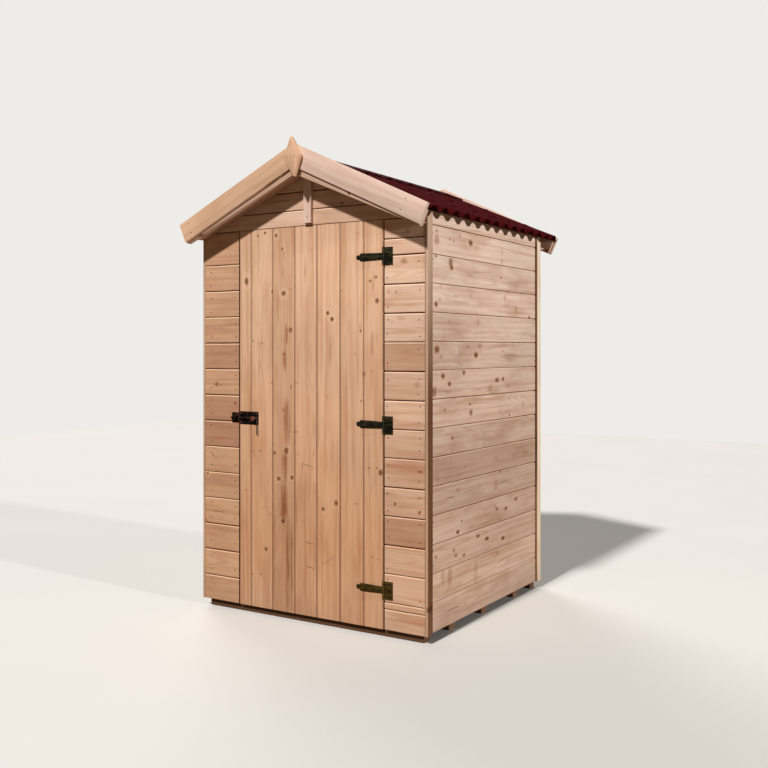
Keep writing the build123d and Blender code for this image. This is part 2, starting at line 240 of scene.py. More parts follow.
def lapped(cover, foot, lip, gap, drop, count, half):
    """Ring (v, d, look) of a half-lapped board: v up from its lower edge, d inward from its face.

    The face runs from a slightly rounded lower edge to a chamfered upper edge.  A lip behind it
    reaches up under the next board at the depth half, and behind that depth the lower edge is
    cut back for the lip of the board below.  look is 1 on the chamfer, where the material paints
    a highlight, and under 0 inside a gap, where it paints a brown shade that grows towards -1.
    """
    top = cover - gap
    reach, foot_cut, play = 0.006, 0.0085, 0.0003
    face = np.linspace(0.006, top - 0.006, count)
    edge = arc((0.0012, 0.0012), 0.0012, 180, 270, 3) + [0, drop]
    points = [
        np.concatenate([edge, np.zeros((3, 1))], axis=1),
        np.stack([face, np.full(count, drop), np.zeros(count)], axis=-1),
        np.array([[top - 0.0040, drop, 0], [top - 0.0034, drop + 0.0002, 1],
                  [top - 0.0014, drop + 0.0012, 1], [top, drop + 0.0034, 0]]),
    ]
    if lip:
        points.append(np.array([[top, half, -0.7], [cover + reach, half + play, -0.7], [cover + reach, clad, 0]]))
    else:
        points.append(np.array([[top, clad, 0]]))
    if foot:
        points.append(np.array([[foot_cut, clad, 0], [foot_cut, half - play, -0.7], [0.0, half - play, -0.7]]))
    else:
        points.append(np.array([[0.0, clad, 0]]))
    return np.concatenate(points)


def plank(origin, along, across, inward, ring, low, high, stations=8, bow=0.0004, tone=None):
    """A straight board: ring points (v, d) carried along, from low(v) to high(v).

    point = origin + along*a + across*v + inward*d with a = low + (high - low)*s, and each board
    leaves its line by a half sine and a third of a sine of a few tenths of a millimetre.
    """
    origin, along, across, inward = (np.asarray(x, dtype=float) for x in (origin, along, across, inward))
    v, d = ring[:, 0], ring[:, 1]
    lo = low(v) if callable(low) else np.full(len(v), low)
    hi = high(v) if callable(high) else np.full(len(v), high)
    s = np.linspace(0, 1, stations)[:, None]
    a = lo[None, :] * (1 - s) + hi[None, :] * s
    side, face, turn = rng.uniform(-1, 1, 3)
    sway = bow * (side * np.sin(pi * s) + 0.4 * turn * np.sin(3 * pi * s))
    proud = bow * (0.5 + 0.5 * face) * np.sin(2 * pi * s + turn)
    vv = v[None, :] + sway
    dd = d[None, :] + proud
    points = origin + a[..., None] * along + vv[..., None] * across + dd[..., None] * inward
    verts, faces = loft(points)
    shift = np.array([rng.uniform(0, 60), rng.uniform(-0.05, 0.05), rng.uniform(0.018, 0.06)])
    middle = (v.min() + v.max()) / 2
    grain = np.stack([a, vv - middle, np.broadcast_to(dd, a.shape)], axis=-1).reshape(-1, 3) + shift
    tone = rng.uniform(0, 1) if tone is None else tone
    look = ring[:, 2] if ring.shape[1] > 2 else np.zeros(len(ring))
    # gap points keep a tone under 0 for their painted brown shade, and chamfer points get 2.0 for a painted
    # highlight, in place of the board's tone
    tones = np.where(look < 0, look, np.where(look > 0, 2.0, tone))
    return verts, faces, grain, np.broadcast_to(tones, a.shape).ravel()


def square_to(axis):
    """Two directions square to an axis: a helper crossed with the axis, and the axis with that."""
    helper = np.array([0, 0, 1.0]) if abs(axis[2]) < 0.9 else np.array([1.0, 0, 0])
    across = np.cross(helper, axis)
    across /= np.linalg.norm(across)
    return across, np.cross(axis, across)


def domes(centres, outward, radius, height, sides=8):
    """Low round heads at the given points: three rings and a pole each, in one mesh part.

    A head is a cap of revolution: at share t of its radius it stands height*(1 - t^2.2) proud.
    """
    centres = np.asarray(centres, dtype=float).reshape(-1, 3)
    outward = np.asarray(outward, dtype=float)
    outward = outward / np.linalg.norm(outward)
    across, up = square_to(outward)
    turn = np.linspace(0, 2 * pi, sides, endpoint=False)
    shares = np.array([1.0, 1.0, 0.75, 0.4])
    lifts = np.array([-0.4, 0.25, 0.75, 0.97])
    ring = np.stack([np.cos(turn), np.sin(turn)], axis=-1)[None] * shares[:, None, None] * radius
    local = ring[..., :1] * across + ring[..., 1:] * up + (lifts * height)[:, None, None] * outward
    local = np.concatenate([local.reshape(-1, 3), [outward * height, -outward * height * 0.4]])
    count = len(local)
    top, foot = count - 2, count - 1
    j = np.arange(sides)
    k = (j + 1) % sides
    belt = np.stack([j, k, sides + k, sides + j], axis=-1)
    belts = np.concatenate([belt, belt + sides, belt + 2 * sides])
    crown = np.stack([3 * sides + j, 3 * sides + k, np.full(sides, top)], axis=-1)
    under = np.stack([k, j, np.full(sides, foot)], axis=-1)
    verts = (centres[:, None, :] + local[None]).reshape(-1, 3)
    bases = (count * np.arange(len(centres)))[:, None, None]
    faces = [(group[None] + bases).reshape(-1, group.shape[1]) for group in (belts, crown, under)]
    return verts, faces, verts.copy(), 0.5


def turned(profile, centre, axis, sides=16):
    """A turned solid: circles of radius r at height h along an axis, from rows (r, h)."""
    profile = np.asarray(profile, dtype=float)
    axis = np.asarray(axis, dtype=float)
    u, w = square_to(axis)
    t = np.linspace(0, 2 * pi, sides, endpoint=False)[None, :, None]
    r, h = profile[:, 0, None, None], profile[:, 1, None, None]
    verts, faces = loft(np.asarray(centre) + axis * h + r * (np.cos(t) * u + np.sin(t) * w))
    return verts, faces, verts.copy(), 0.5


def hoop(centre, axis, inner, outer, low, high, square=0.0):
    """A closed band round an axis between two heights: a rectangular section carried round it.

    At angle t the outside stands at outer, or for a square band at square / max(|cos t|, |sin t|)
    where that is less, so the band has flat sides and rounded corners.
    """
    sides, ease = 32, 0.0004
    axis = np.asarray(axis, dtype=float)
    u, w = square_to(axis)
    t = np.linspace(0, 2 * pi, sides, endpoint=False)
    edge, hole = np.full(sides, outer), np.full(sides, inner)
    if square:
        edge = np.minimum(outer, square / np.maximum(np.abs(np.cos(t)), np.abs(np.sin(t))))
    r = np.stack([hole, edge - ease, edge, edge, edge - ease, hole], axis=-1)[..., None]
    h = np.array([low, low, low + ease, high - ease, high, high])[None, :, None]
    spokes = (np.cos(t)[:, None] * u + np.sin(t)[:, None] * w)[:, None, :]
    verts, faces = loft(np.asarray(centre) + axis * h + r * spokes, "loop")
    return verts, faces, verts.copy(), 0.5


def cut_plate(outline, face, thick, bevel=0.0006):
    """A flat plate on the front of the building: a closed outline (x, z) at four depths.

    The front outline is drawn in square to its own direction by the bevel.
    """
    outline = np.asarray(outline, dtype=float)
    ahead = np.roll(outline, -1, axis=0) - outline
    ahead /= np.linalg.norm(ahead, axis=1)[:, None]
    tangent = ahead + np.roll(ahead, 1, axis=0)
    tangent /= np.linalg.norm(tangent, axis=1)[:, None]
    x, z = outline.T
    turn = np.sign(np.sum(x * np.roll(z, -1) - z * np.roll(x, -1)))
    inward = turn * np.stack([-tangent[:, 1], tangent[:, 0]], axis=-1)
    layers = []
    for inset, deep in ((1.6 * bevel, 0.0), (0.5 * bevel, 0.4 * bevel), (0.0, 1.3 * bevel), (0.0, thick)):
        spot = outline + inward * inset
        layers.append(np.stack([spot[:, 0], np.full(len(spot), face + deep), spot[:, 1]], axis=-1))
    verts, faces = loft(np.stack(layers))
    return verts, faces, verts.copy(), 0.5


# Materials

def add(tree, kind, links=None, **settings):
    """A shader node with its settings, its sockets linked or given plain values."""
    node = tree.nodes.new(kind)
    for key, value in settings.items():
        setattr(node, key, value)
    for key, value in (links or {}).items():
        socket = node.inputs[key]
        if isinstance(value, bpy.types.NodeSocket):
            tree.links.new(value, socket)
        else:
            socket.default_value = value
    return node


def maths(tree, operation, a, b=0.0, c=0.0, clamp=False):
    """One sum on numbers."""
    return add(tree, "ShaderNodeMath", {0: a, 1: b, 2: c}, operation=operation, use_clamp=clamp).outputs[0]


def times(tree, first, *others):
    """The product of all the values."""
    for other in others:
        first = maths(tree, "MULTIPLY", first, other)
    return first


def plus(tree, first, *others):
    """The sum of all the values."""
    for other in others:
        first = maths(tree, "ADD", first, other)
    return first


def times_clamped(tree, value, factor):
    """value * factor, kept between 0 and 1."""
    return maths(tree, "MULTIPLY", value, factor, clamp=True)


def vectors(tree, operation, *values):
    """One sum on vectors."""
    node = add(tree, "ShaderNodeVectorMath", dict(enumerate(values)), operation=operation)
    return node.outputs["Value" if operation == "LENGTH" else "Vector"]


def noise(tree, vector, factors, detail=3.0, rough=0.55):
    """Noise in the range 0 to 1 on a vector scaled by three factors: a larger factor is finer."""
    links = {"Vector": vectors(tree, "MULTIPLY", vector, factors), "Scale": 1.0, "Detail": detail, "Roughness": rough}
    return add(tree, "ShaderNodeTexNoise", links).outputs[0]


def spread(tree, value, low, high, to_low=0.0, to_high=1.0, smooth=True):
    """The range low to high of a value drawn out to the range to_low to to_high, and held there."""
    links = {0: value, 1: low, 2: high, 3: to_low, 4: to_high}
    kind = "SMOOTHSTEP" if smooth else "LINEAR"
    return add(tree, "ShaderNodeMapRange", links, interpolation_type=kind).outputs[0]


def blended(tree, factor, a, b, mode="MIX"):
    """Colour a turned into colour b, or multiplied by it, by a share of factor."""
    return add(tree, "ShaderNodeMix", {0: factor, 6: a, 7: b}, data_type="RGBA", blend_type=mode).outputs[2]


def tinted(tree, colour, factor, *shade):
    """A colour turned into a shade, given by its display values 0-255, by a share of factor."""
    return blended(tree, factor, colour, linear(*shade))


def linear(red, green, blue):
    """A colour from its display values 0-255."""
    c = np.array([red, green, blue]) / 255
    c = np.where(c <= 0.04045, c / 12.92, ((c + 0.055) / 1.055) ** 2.4)
    return (float(c[0]), float(c[1]), float(c[2]), 1.0)


def new_material(name, rough, specular, metal=0.0):
    """A material with its node tree and its shader."""
    material = bpy.data.materials.new(name)
    material.use_nodes = True
    tree = material.node_tree
    shader = tree.nodes["Principled BSDF"]
    shader.inputs["Roughness"].default_value = rough
    shader.inputs["Specular IOR Level"].default_value = specular
    shader.inputs["Metallic"].default_value = metal
    return material, tree, shader


def roughen(tree, shader, height, strength, distance):
    """A fine relief from a height at each point, on the shader's normal."""
    bump = add(tree, "ShaderNodeBump", {"Strength": strength, "Distance": distance, "Height": height})
    tree.links.new(bump.outputs[0], shader.inputs["Normal"])


def object_place(tree):
    """The place in the building, in metres, as every piece's object sits at the origin."""
    return add(tree, "ShaderNodeTexCoord").outputs["Object"]


def separate(tree, vector):
    """The three numbers of a vector."""
    return add(tree, "ShaderNodeSeparateXYZ", {0: vector}).outputs


def attribute(tree, name, output="Vector"):
    """What the mesh stores at each vertex under a name."""
    return add(tree, "ShaderNodeAttribute", attribute_name=name).outputs[output]


def chance_knots(tree, grain, knots):
    """Knots by chance: one cell each 0.24 m along and 0.11 m across the grain, most left empty.

    Gives the distance from the cell's knot over the knot's radius, and 1 where the cell has one.
    """
    spot = vectors(tree, "MULTIPLY", grain, (4.2, 9.0, 0.0))
    knot = add(tree, "ShaderNodeTexVoronoi", {"Vector": spot, "Scale": 1.0, "Randomness": 0.9},
               voronoi_dimensions="2D").outputs
    away = vectors(tree, "SUBTRACT", spot, knot["Position"])
    away = vectors(tree, "LENGTH", vectors(tree, "MULTIPLY", away, (1 / 5.0, 1 / 9.0, 0.0)))
    dice = add(tree, "ShaderNodeSeparateColor", {0: knot["Color"]}).outputs
    size = spread(tree, dice[1], 0, 1, 0.0035, 0.010, smooth=False)
    return maths(tree, "DIVIDE", away, size), maths(tree, "LESS_THAN", dice[0], knots)


def placed_marks(tree, grain):
    """The marks that a mesh carries: for each layer the distance from the mark's middle over its
    radius, made ragged by noise, its strength, and 1 for a knot or stain or 0 for a crack."""
    ragged = maths(tree, "MULTIPLY_ADD", noise(tree, grain, (90, 150, 150), 2), 1.3, 0.35)
    marks = []
    for letter in "abcd":
        layer = separate(tree, attribute(tree, f"knot_{letter}"))
        far = vectors(tree, "LENGTH", add(tree, "ShaderNodeCombineXYZ", {0: layer[0], 1: layer[1]}).outputs[0])
        marks.append((maths(tree, "DIVIDE", far, ragged), layer[2], maths(tree, "LESS_THAN", layer[2], 1.05)))
    return marks


def pine(name, light, dark, red, knots, dirt=0.0, rings=0.55, turn=None, vary=1.0, marked=False,
         low_tint=None, stain=None):
    """Planed pine: growth rings as distance from a pith line, knots, fibres, tone by board.

    light, dark and red are display colours.  The grain comes from the mesh, or with a turn from
    the place.  low_tint is the tint that the wood is multiplied by near the ground, so that it is
    darker towards the bottom.  stain makes a front corner strip darker apart from its front face,
    and more so lower down ("face"), or the forward edge of a rear one darker ("edge").
    """
    material, tree, shader = new_material(name, 0.62, 0.25)
    light, dark, red = linear(*light), linear(*dark), linear(*red)
    place = object_place(tree)
    where = separate(tree, place)
    deep_in, high = where[1], where[2]
    if turn is None:
        grain = attribute(tree, "grain")
        tone = attribute(tree, "board", "Fac")
    else:
        moved = {"Vector": place, "Rotation": turn, "Location": (0, 0.31, 0.27)}
        grain = add(tree, "ShaderNodeMapping", moved).outputs[0]
        tone = noise(tree, place, (3, 3, 3), 0)

    # the pith line wanders, and the rings flow round the knots
    swirl = {"Vector": vectors(tree, "MULTIPLY", grain, (1.7, 5, 5)), "Scale": 1.0, "Detail": 1.5}
    wobble = add(tree, "ShaderNodeTexNoise", swirl).outputs["Color"]
    wobble = vectors(tree, "SUBTRACT", wobble, (0.5, 0.5, 0.5))
    bent = separate(tree, vectors(tree, "MULTIPLY_ADD", wobble, (0, 0.075, 0.05), grain))
    share, there = chance_knots(tree, grain, knots)
    knot = times(tree, spread(tree, share, 1.25, 0.75), there)
    rim = times(tree, spread(tree, share, 0.55, 0.95), spread(tree, share, 1.9, 1.05), there)
    flow = times(tree, spread(tree, share, 5.0, 0.6), times(tree, there, 0.014))
    marks = placed_marks(tree, grain) if marked else []
    for far, strength, whole in marks:
        bend = times(tree, spread(tree, far, 1.9, 0.5), times_clamped(tree, strength, 0.010))
        flow = plus(tree, flow, times(tree, bend, whole))
    square = plus(tree, times(tree, bent[1], bent[1]), times(tree, bent[2], bent[2]))
    radius = plus(tree, maths(tree, "SQRT", square), flow)
    wide = times(tree, noise(tree, grain, (1.1, 9, 9), 1), 0.012)
    phase = times(tree, plus(tree, radius, wide), 2 * pi / 0.0052)
    ring = spread(tree, maths(tree, "SINE", phase), -0.2, 1.0)
    ring = times(tree, ring, spread(tree, noise(tree, grain, (1.5, 22, 22), 2), 0.35, 0.65, 0.25, 1.0))

    # rings, streaks, blotches and the tone of the board
    streak = noise(tree, grain, (1.6, 55, 55), 3, 0.6)
    fibre = noise(tree, grain, (14, 900, 900), 2, 0.6)
    blotch = noise(tree, grain, (2.6, 9, 9), 3, 0.6)
    colour = blended(tree, times(tree, ring, rings), light, dark)
    colour = blended(tree, spread(tree, streak, 0.42, 0.72, 0.0, 0.5), colour, dark)
    colour = blended(tree, spread(tree, blotch, 0.45, 0.75, 0.0, 0.55), colour, red)
    shade = times(tree, spread(tree, tone, 0, 1, 1 - 0.13 * vary, 1 + 0.09 * vary, smooth=False),
                  spread(tree, fibre, 0.3, 0.7, 0.965, 1.035),
                  spread(tree, noise(tree, place, (2.2, 2.2, 2.2), 2), 0.3, 0.7, 0.93, 1.05))
    grey = add(tree, "ShaderNodeCombineColor", {0: shade, 1: shade, 2: shade}).outputs[0]
    colour = blended(tree, 1.0, colour, grey, "MULTIPLY")
    colour = tinted(tree, colour, times(tree, rim, 0.45), 140, 84, 46)
    rounds = spread(tree, maths(tree, "SINE", times(tree, share, 14)), -1, 1)
    inside = blended(tree, rounds, linear(128, 76, 44), linear(84, 48, 28))
    colour = blended(tree, times(tree, knot, 0.85), colour, inside)

    # knots, stains and splits at their own places
    dent = 0.0
    broken = spread(tree, noise(tree, grain, (9, 160, 160), 2), 0.38, 0.56, 0.3, 1.0)
    for far, strength, whole in marks:
        pale = times(tree, spread(tree, far, 1.95, 1.45), spread(tree, strength, 0.7, 1.0, 0.0, 0.25), whole)
        halo = times(tree, spread(tree, far, 1.35, 0.55), times_clamped(tree, strength, 0.75), whole)
        long_stain = times(tree, spread(tree, far, 1.5, 0.5), times_clamped(tree, strength, -0.75), broken)
        deep = times(tree, spread(tree, far, 0.9, 0.35), spread(tree, strength, 0.4, 1.0), whole)
        split = times(tree, maths(tree, "SUBTRACT", strength, 1.0, clamp=True), 0.9)
        split = times(tree, spread(tree, far, 1.2, 0.7), split)
        heart = blended(tree, spread(tree, far, 0.15, 0.6), linear(60, 36, 22), linear(116, 72, 44))
        colour = tinted(tree, colour, pale, 244, 216, 190)
        colour = tinted(tree, colour, halo, 146, 92, 54)
        colour = tinted(tree, colour, long_stain, 132, 78, 42)
        colour = blended(tree, times(tree, deep, 0.8), colour, heart)
        colour = tinted(tree, colour, times(tree, split, maths(tree, "SUBTRACT", 1.0, whole)), 62, 42, 28)
        dent = plus(tree, dent, plus(tree, times(tree, deep, 0.6), times(tree, split, 1.5)))

    # fine checks along the grain, redder boards, painted brown shade in the seams and painted highlights on the
    # chamfers
    check = times(tree, spread(tree, noise(tree, grain, (2.2, 330, 330), 1, 0.5), 0.735, 0.765), 0.7)
    colour = tinted(tree, colour, check, 96, 62, 42)
    if turn is None:
        colour = blended(tree, spread(tree, tone, 0.45, 0.0, 0.0, 0.4), colour, red)
        # painted shade: the gaps between boards, and other places with a tone under 0, turn brown
        colour = tinted(tree, colour, spread(tree, tone, -0.05, -0.7, 0.0, 0.95), 112, 60, 30)
        # painted highlight: the chamfers, with a tone of 2, turn paler
        colour = tinted(tree, colour, spread(tree, tone, 1.1, 2.0, 0.0, 0.4), 250, 222, 196)
    if low_tint:
        white = (1, 1, 1, 1)
        # darker towards the bottom: from white at 1.45 m to low_tint at 0.15 m
        second_tint = blended(tree, spread(tree, high, 1.45, 0.15, smooth=False), white, low_tint + (1,))
        # painted light: the lowest boards are painted a little paler again, as though lit from the ground
        second_tint = blended(tree, spread(tree, high, 0.42, 0.08, 0.0, 0.34), second_tint, white)
        colour = blended(tree, 1.0, colour, second_tint, "MULTIPLY")
    # the corner strips are made darker: a front strip on all but its front face, and more so lower down, and a rear
    # strip on its forward edge
    if stain:
        if stain == "face":
            patchy = plus(tree, high, times(tree, noise(tree, place, (6, 6, 2), 3), 0.5))
            darker_share = times(tree, spread(tree, patchy, 2.0, 1.2),
                            spread(tree, deep_in, front_y + 0.0003, front_y + 0.0012, 0.1, 1.0))
        else:
            inner = -front_y - trim_wide
            darker_share = spread(tree, deep_in, inner + 0.0012, inner + 0.0004, 0.0, 0.85)
        darker_colour = blended(tree, 1.0, colour, (0.28, 0.18, 0.11, 1.0), "MULTIPLY")
        colour = blended(tree, darker_share, colour, darker_colour)
    if dirt:
        splash = plus(tree, high, times(tree, noise(tree, place, (7, 7, 3), 4), 0.22))
        colour = tinted(tree, colour, spread(tree, splash, 0.30, 0.12, 0.0, dirt), 120, 92, 70)
    tree.links.new(colour, shader.inputs["Base Color"])
    tree.links.new(spread(tree, ring, 0, 1, 0.66, 0.52), shader.inputs["Roughness"])
    height = plus(tree, times(tree, ring, 0.25), times(tree, fibre, 0.6))
    for hollow in (times(tree, check, 1.2), times(tree, rim, 0.5), dent):
        height = maths(tree, "SUBTRACT", height, hollow)
    roughen(tree, shader, height, 0.35, 0.0006)
    return material


def bitumen(name):
    """Dark maroon pressed felt sheet: matt, granular, lighter on its crests, partly dust and partly a painted
    highlight.
    """
    material, tree, shader = new_material(name, 0.92, 0.05)
    place = object_place(tree)
    crest = separate(tree, attribute(tree, "grain"))[2]
    fine = noise(tree, place, (520, 520, 520), 2, 0.6)
    patch = noise(tree, place, (9, 9, 9), 4, 0.6)
    run = noise(tree, place, (5, 70, 12), 3, 0.6)
    # the crests are lighter: partly dust, partly a painted highlight
    dust_and_highlight = times(tree, spread(tree, crest, 0.3, 1.0), spread(tree, run, 0.35, 0.65, 0.02, 0.18))
    colour = blended(tree, patch, linear(48, 4, 7), linear(64, 6, 10))
    colour = tinted(tree, colour, spread(tree, fine, 0.35, 0.7, 0.0, 0.6), 28, 2, 4)
    colour = tinted(tree, colour, dust_and_highlight, 92, 20, 24)
    tree.links.new(colour, shader.inputs["Base Color"])
    coarse = noise(tree, place, (160, 160, 160), 2)
    roughen(tree, shader, plus(tree, fine, times(tree, coarse, 0.8)), 0.5, 0.0008)
    return material


def iron(name, base, rust, amount, rough=0.5, metal=0.0, lower=0.0, second_tint=None):
    """Painted iron with a hammered skin: turned to a second colour in smears, partly worn paint and
    partly a painted highlight, rusted in patches by an amount, and browned by a share of lower
    below a height of 0.4 m."""
    material, tree, shader = new_material(name, rough, 0.16, metal)
    base, rust = linear(*base), linear(*rust)
    second_tint = linear(*second_tint) if second_tint else tuple(c * 2.2 + 0.004 for c in base[:3]) + (1.0,)
    place = object_place(tree)
    fine = noise(tree, place, (260, 260, 260), 3, 0.6)
    patch = noise(tree, place, (55, 55, 55), 4, 0.65)
    cover = spread(tree, patch, 0.62 - amount, 0.74 - amount * 0.7)
    wear_and_highlight = spread(tree, noise(tree, place, (18, 18, 110), 3, 0.6), 0.45, 0.7, 0.0, 0.8)
    brown = blended(tree, wear_and_highlight, linear(52, 38, 6), linear(84, 66, 16))
    # lighter smears in the second colour: partly worn paint, partly a painted highlight
    paint = blended(tree, wear_and_highlight, base, second_tint)
    paint = blended(tree, spread(tree, separate(tree, place)[2], 0.5, 0.4, 0.0, lower), paint, brown)
    stain = blended(tree, fine, rust, tuple(c * 0.45 for c in rust[:3]) + (1.0,))
    tree.links.new(blended(tree, cover, paint, stain), shader.inputs["Base Color"])
    tree.links.new(spread(tree, cover, 0, 1, rough, 0.85), shader.inputs["Roughness"])
    roughen(tree, shader, plus(tree, fine, patch), 0.45, 0.0006)
    return material


wall_look = {"knots": 0.1, "marked": True}
left_pine = pine("left_pine", (200, 160, 128), (164, 118, 88), (166, 110, 92), dirt=0.15, rings=0.3, vary=1.5,
                 low_tint=(0.86, 0.82, 0.76), **wall_look)
right_pine = pine("right_pine", (214, 182, 160), (178, 130, 100), (170, 118, 82), dirt=0.08, rings=0.32, vary=1.1,
                  low_tint=(0.75, 0.65, 0.56), **wall_look)
# side_pine is paler and pinker than the front boards: partly the boards' own colour, partly painted cool light from
# the sky on the side walls
side_pine = pine("side_pine", (222, 196, 180), (174, 134, 106), (172, 130, 102), dirt=0.3, rings=0.35, vary=1.3,
                 low_tint=(0.72, 0.65, 0.57), **wall_look)
door_pine = pine("door_pine", (218, 180, 150), (178, 126, 90), (182, 132, 98), knots=0.06, dirt=0.12, rings=0.26,
                 vary=1.2, marked=True, low_tint=(0.65, 0.53, 0.42))
trim_pine = pine("trim_pine", (240, 224, 202), (206, 176, 148), (206, 172, 140), knots=0.1, dirt=0.25,
                 low_tint=(0.85, 0.79, 0.71), stain="edge")
corner_pine = pine("corner_pine", (202, 172, 150), (172, 134, 110), (174, 134, 110), knots=0.1, dirt=0.2,
                   low_tint=(0.84, 0.73, 0.6), stain="face")
barge_pine = pine("barge_pine", (217, 191, 177), (184, 150, 130), (191, 157, 138), knots=0.08, rings=0.3)
left_barge_pine = pine("left_barge_pine", (205, 168, 139), (170, 130, 101), (178, 137, 108), knots=0.08, rings=0.3)
verge_pine = pine("verge_pine", (210, 178, 158), (176, 136, 112), (182, 140, 118), knots=0.2)
sawn_shades = ((206, 164, 122), (172, 124, 84), (184, 134, 96))
purlin_shades = ((104, 62, 44), (78, 44, 32), (84, 48, 36))
frame_pine = pine("frame_pine", *sawn_shades, knots=0.4)
# a darker pine for the floor bearers
dark_bearer_pine = pine("dark_bearer_pine", (118, 86, 62), (82, 56, 40), (92, 62, 44), knots=0.2, vary=1.5)
roof_felt = bitumen("roof_felt")
hinge_iron = iron("hinge_iron", (6, 12, 6), (56, 40, 12), 0.10, lower=0.9, second_tint=(64, 56, 31))
black_iron = iron("black_iron", (9, 4, 3), (84, 40, 26), 0.05)
bar_steel = iron("bar_steel", (44, 34, 26), (84, 46, 30), 0.14, 0.45, 0.3)
rusty_iron = iron("rusty_iron", (84, 46, 33), (122, 70, 50), 0.25, 0.6)
nail_steel = iron("nail_steel", (74, 56, 46), (110, 66, 42), 0.2, 0.6, 0.3)


# Walls

def seams_between(low, high, seams):
    """The heights from low to high at which boards meet, with both ends."""
    inner = [z for z in sorted(seams) if low + 0.004 < z < high - 0.004]
    return [low] + inner + [high]


def courses(name, seams, low, high, origin, along, inward, left, right, material, nodes, marks,
            tones=(), split=None, gap=0.0042):
    """Horizontal lapped boards between two heights; left(z) and right(z) bound each board.

    Each course is a lapped ring carried along the wall.  nodes is (node, slot), of which the slot
    is not used, and split is (course, place of a butt joint).
    """
    edges = seams_between(low, high, seams)
    ends = [end(edges[0]) if callable(end) else end for end in (left, right)]
    stations = max(12, round(abs(np.max(ends[1]) - np.min(ends[0])) / cell))
    parts = []
    for count, (z0, z1) in enumerate(zip(edges[:-1], edges[1:])):
        ring = lapped(z1 - z0, count > 0, z1 < high, gap=gap * rng.uniform(0.8, 1.35),
                      drop=rng.uniform(0.0, 0.0009), count=max(4, round((z1 - z0) / cell)), half=0.0055)
        if z1 == high:
            ring[:, 0] = np.minimum(ring[:, 0], z1 - z0)
        lo = (lambda v, z=z0: left(z + v)) if callable(left) else left
        hi = (lambda v, z=z0: right(z + v)) if callable(right) else right
        tone = tones[count] if count < len(tones) else None
        runs = [(lo, hi)]
        if split and split[0] == count:
            runs = [(lo, split[1] - 0.0008), (split[1] + 0.0008, hi)]
        for a, b in runs:
            parts.append(plank((*origin, z0), along, plumb, inward, ring, a, b, stations, tone=tone))
    make(name, parts, material, "shed", nodes[:1], marks=marks)


# Knots as (level, height, radius, stretch, strength) and cracks as (level, height, level,
# height, strength), all lengths in millimetres on the wall they belong to
door_knots = (
    (-339, 1496, 14, 1.6, 0.9), (-273, 1697, 7, 1, 0.8), (-233, 1708, 8, 1, 0.9),
    (-170, 1693, 10, 1, 0.95), (-137, 1631, 8, 1.2, 0.8), (-128, 1609, 6, 1.5, 0.6),
    (-126, 1591, 5, 2, 0.5), (-131, 1534, 8, 4, 0.45), (-128, 1435, 14, 1, 1), (-190, 1446, 9, 1.2, 0.9),
    (109, 1344, 11, 1, 0.9), (132, 1318, 12, 1, 0.95), (-90, 1274, 13, 1.1, 0.8), (-126, 1168, 9, 1, 0.8),
    (-126, 1133, 7, 2.2, 0.5), (325, 1473, 7, 1, 0.6), (354, 1488, 8, 1, 0.7), (275, 1282, 7, 2.5, 0.4),
    (250, 1169, 6, 1, 0.5), (265, 1676, 6, 1, 0.4), (-131, 922, 8, 1, 0.55), (-112, 744, 14, 1.2, 1),
    (-179, 730, 11, 1, 0.8), (-49, 728, 5, 1, 0.5), (-156, 618, 12, 1, 0.95), (-82, 628, 11, 1, 1),
    (-193, 1040, 7, 1, 0.6), (-87, 1024, 8, 1.4, 0.6), (295, 1086, 10, 1, 0.7), (335, 1099, 6, 1, 0.4),
    (106, 985, 8, 1, 0.35), (194, 983, 6, 1, 0.3), (280, 973, 5, 1, 0.7), (-342, 553, 5, 1, 0.7),
    (-131, 433, 12, 1, 1), (-227, 299, 11, 1, 0.8), (-204, 457, 6, 1.5, 0.5), (85, 504, 10, 1, 0.8),
    (153, 536, 12, 1.2, 0.85), (255, 540, 9, 1, 0.4), (335, 327, 6, 1, 0.5), (364, 322, 6, 1, 0.5),
    (-121, 681, 15, 4.4, -1.0), (-127, 513, 19, 5, -1.15), (-106, 240, 12, 17, -1.0), (-134, 235, 6, 30, -0.9),
    (-83, 240, 7, 26, -0.95), (-109, 870, 18, 5, -1.0), (-181, 300, 6, 34, -0.7), (-127, 1570, 12, 7, -1.0),
    (-114, 1251, 11, 4, -1.0), (-120, 1145, 11, 4, -1.0), (-80, 960, 9, 12, -1.0), (-163, 960, 8, 12, -0.7),
    (-11, 1533, 5, 10, -0.6), (27, 1596, 4, 10, -0.5), (122, 1178, 6, 8, -0.5), (335, 1207, 8, 6, -0.8),
    (340, 1478, 6, 9, -0.6), (205, 1040, 5, 20, -0.4), (60, 900, 6, 20, -0.4), (-160, 1380, 6, 12, -0.5),
)
door_cracks = (
    (-76, 827, -49, 829, 1), (-27, 699, -26, 669, 1), (-22, 691, 37, 679, 0.7), (-11, 353, 32, 349, 0.8),
    (-6, 250, 37, 242, 1), (80, 264, 148, 310, 0.5), (-104, 1454, -82, 1455, 0.5),
    (-32, 446, -11, 435, 0.4), (174, 1436, 180, 1436, 1), (-76, 1044, -43, 1044, 0.5),
    (-76, 1470, -54, 1452, 0.35), (-250, 480, -221, 491, 0.3),
)
door_nails = (
    (-302, 1227), (-250, 1217), (-313, 731), (-261, 734), (-304, 178), (-255, 184), (320, 695), (359, 698),
    (-273, 1697), (-233, 1708), (324, 1473), (354, 1488),
)
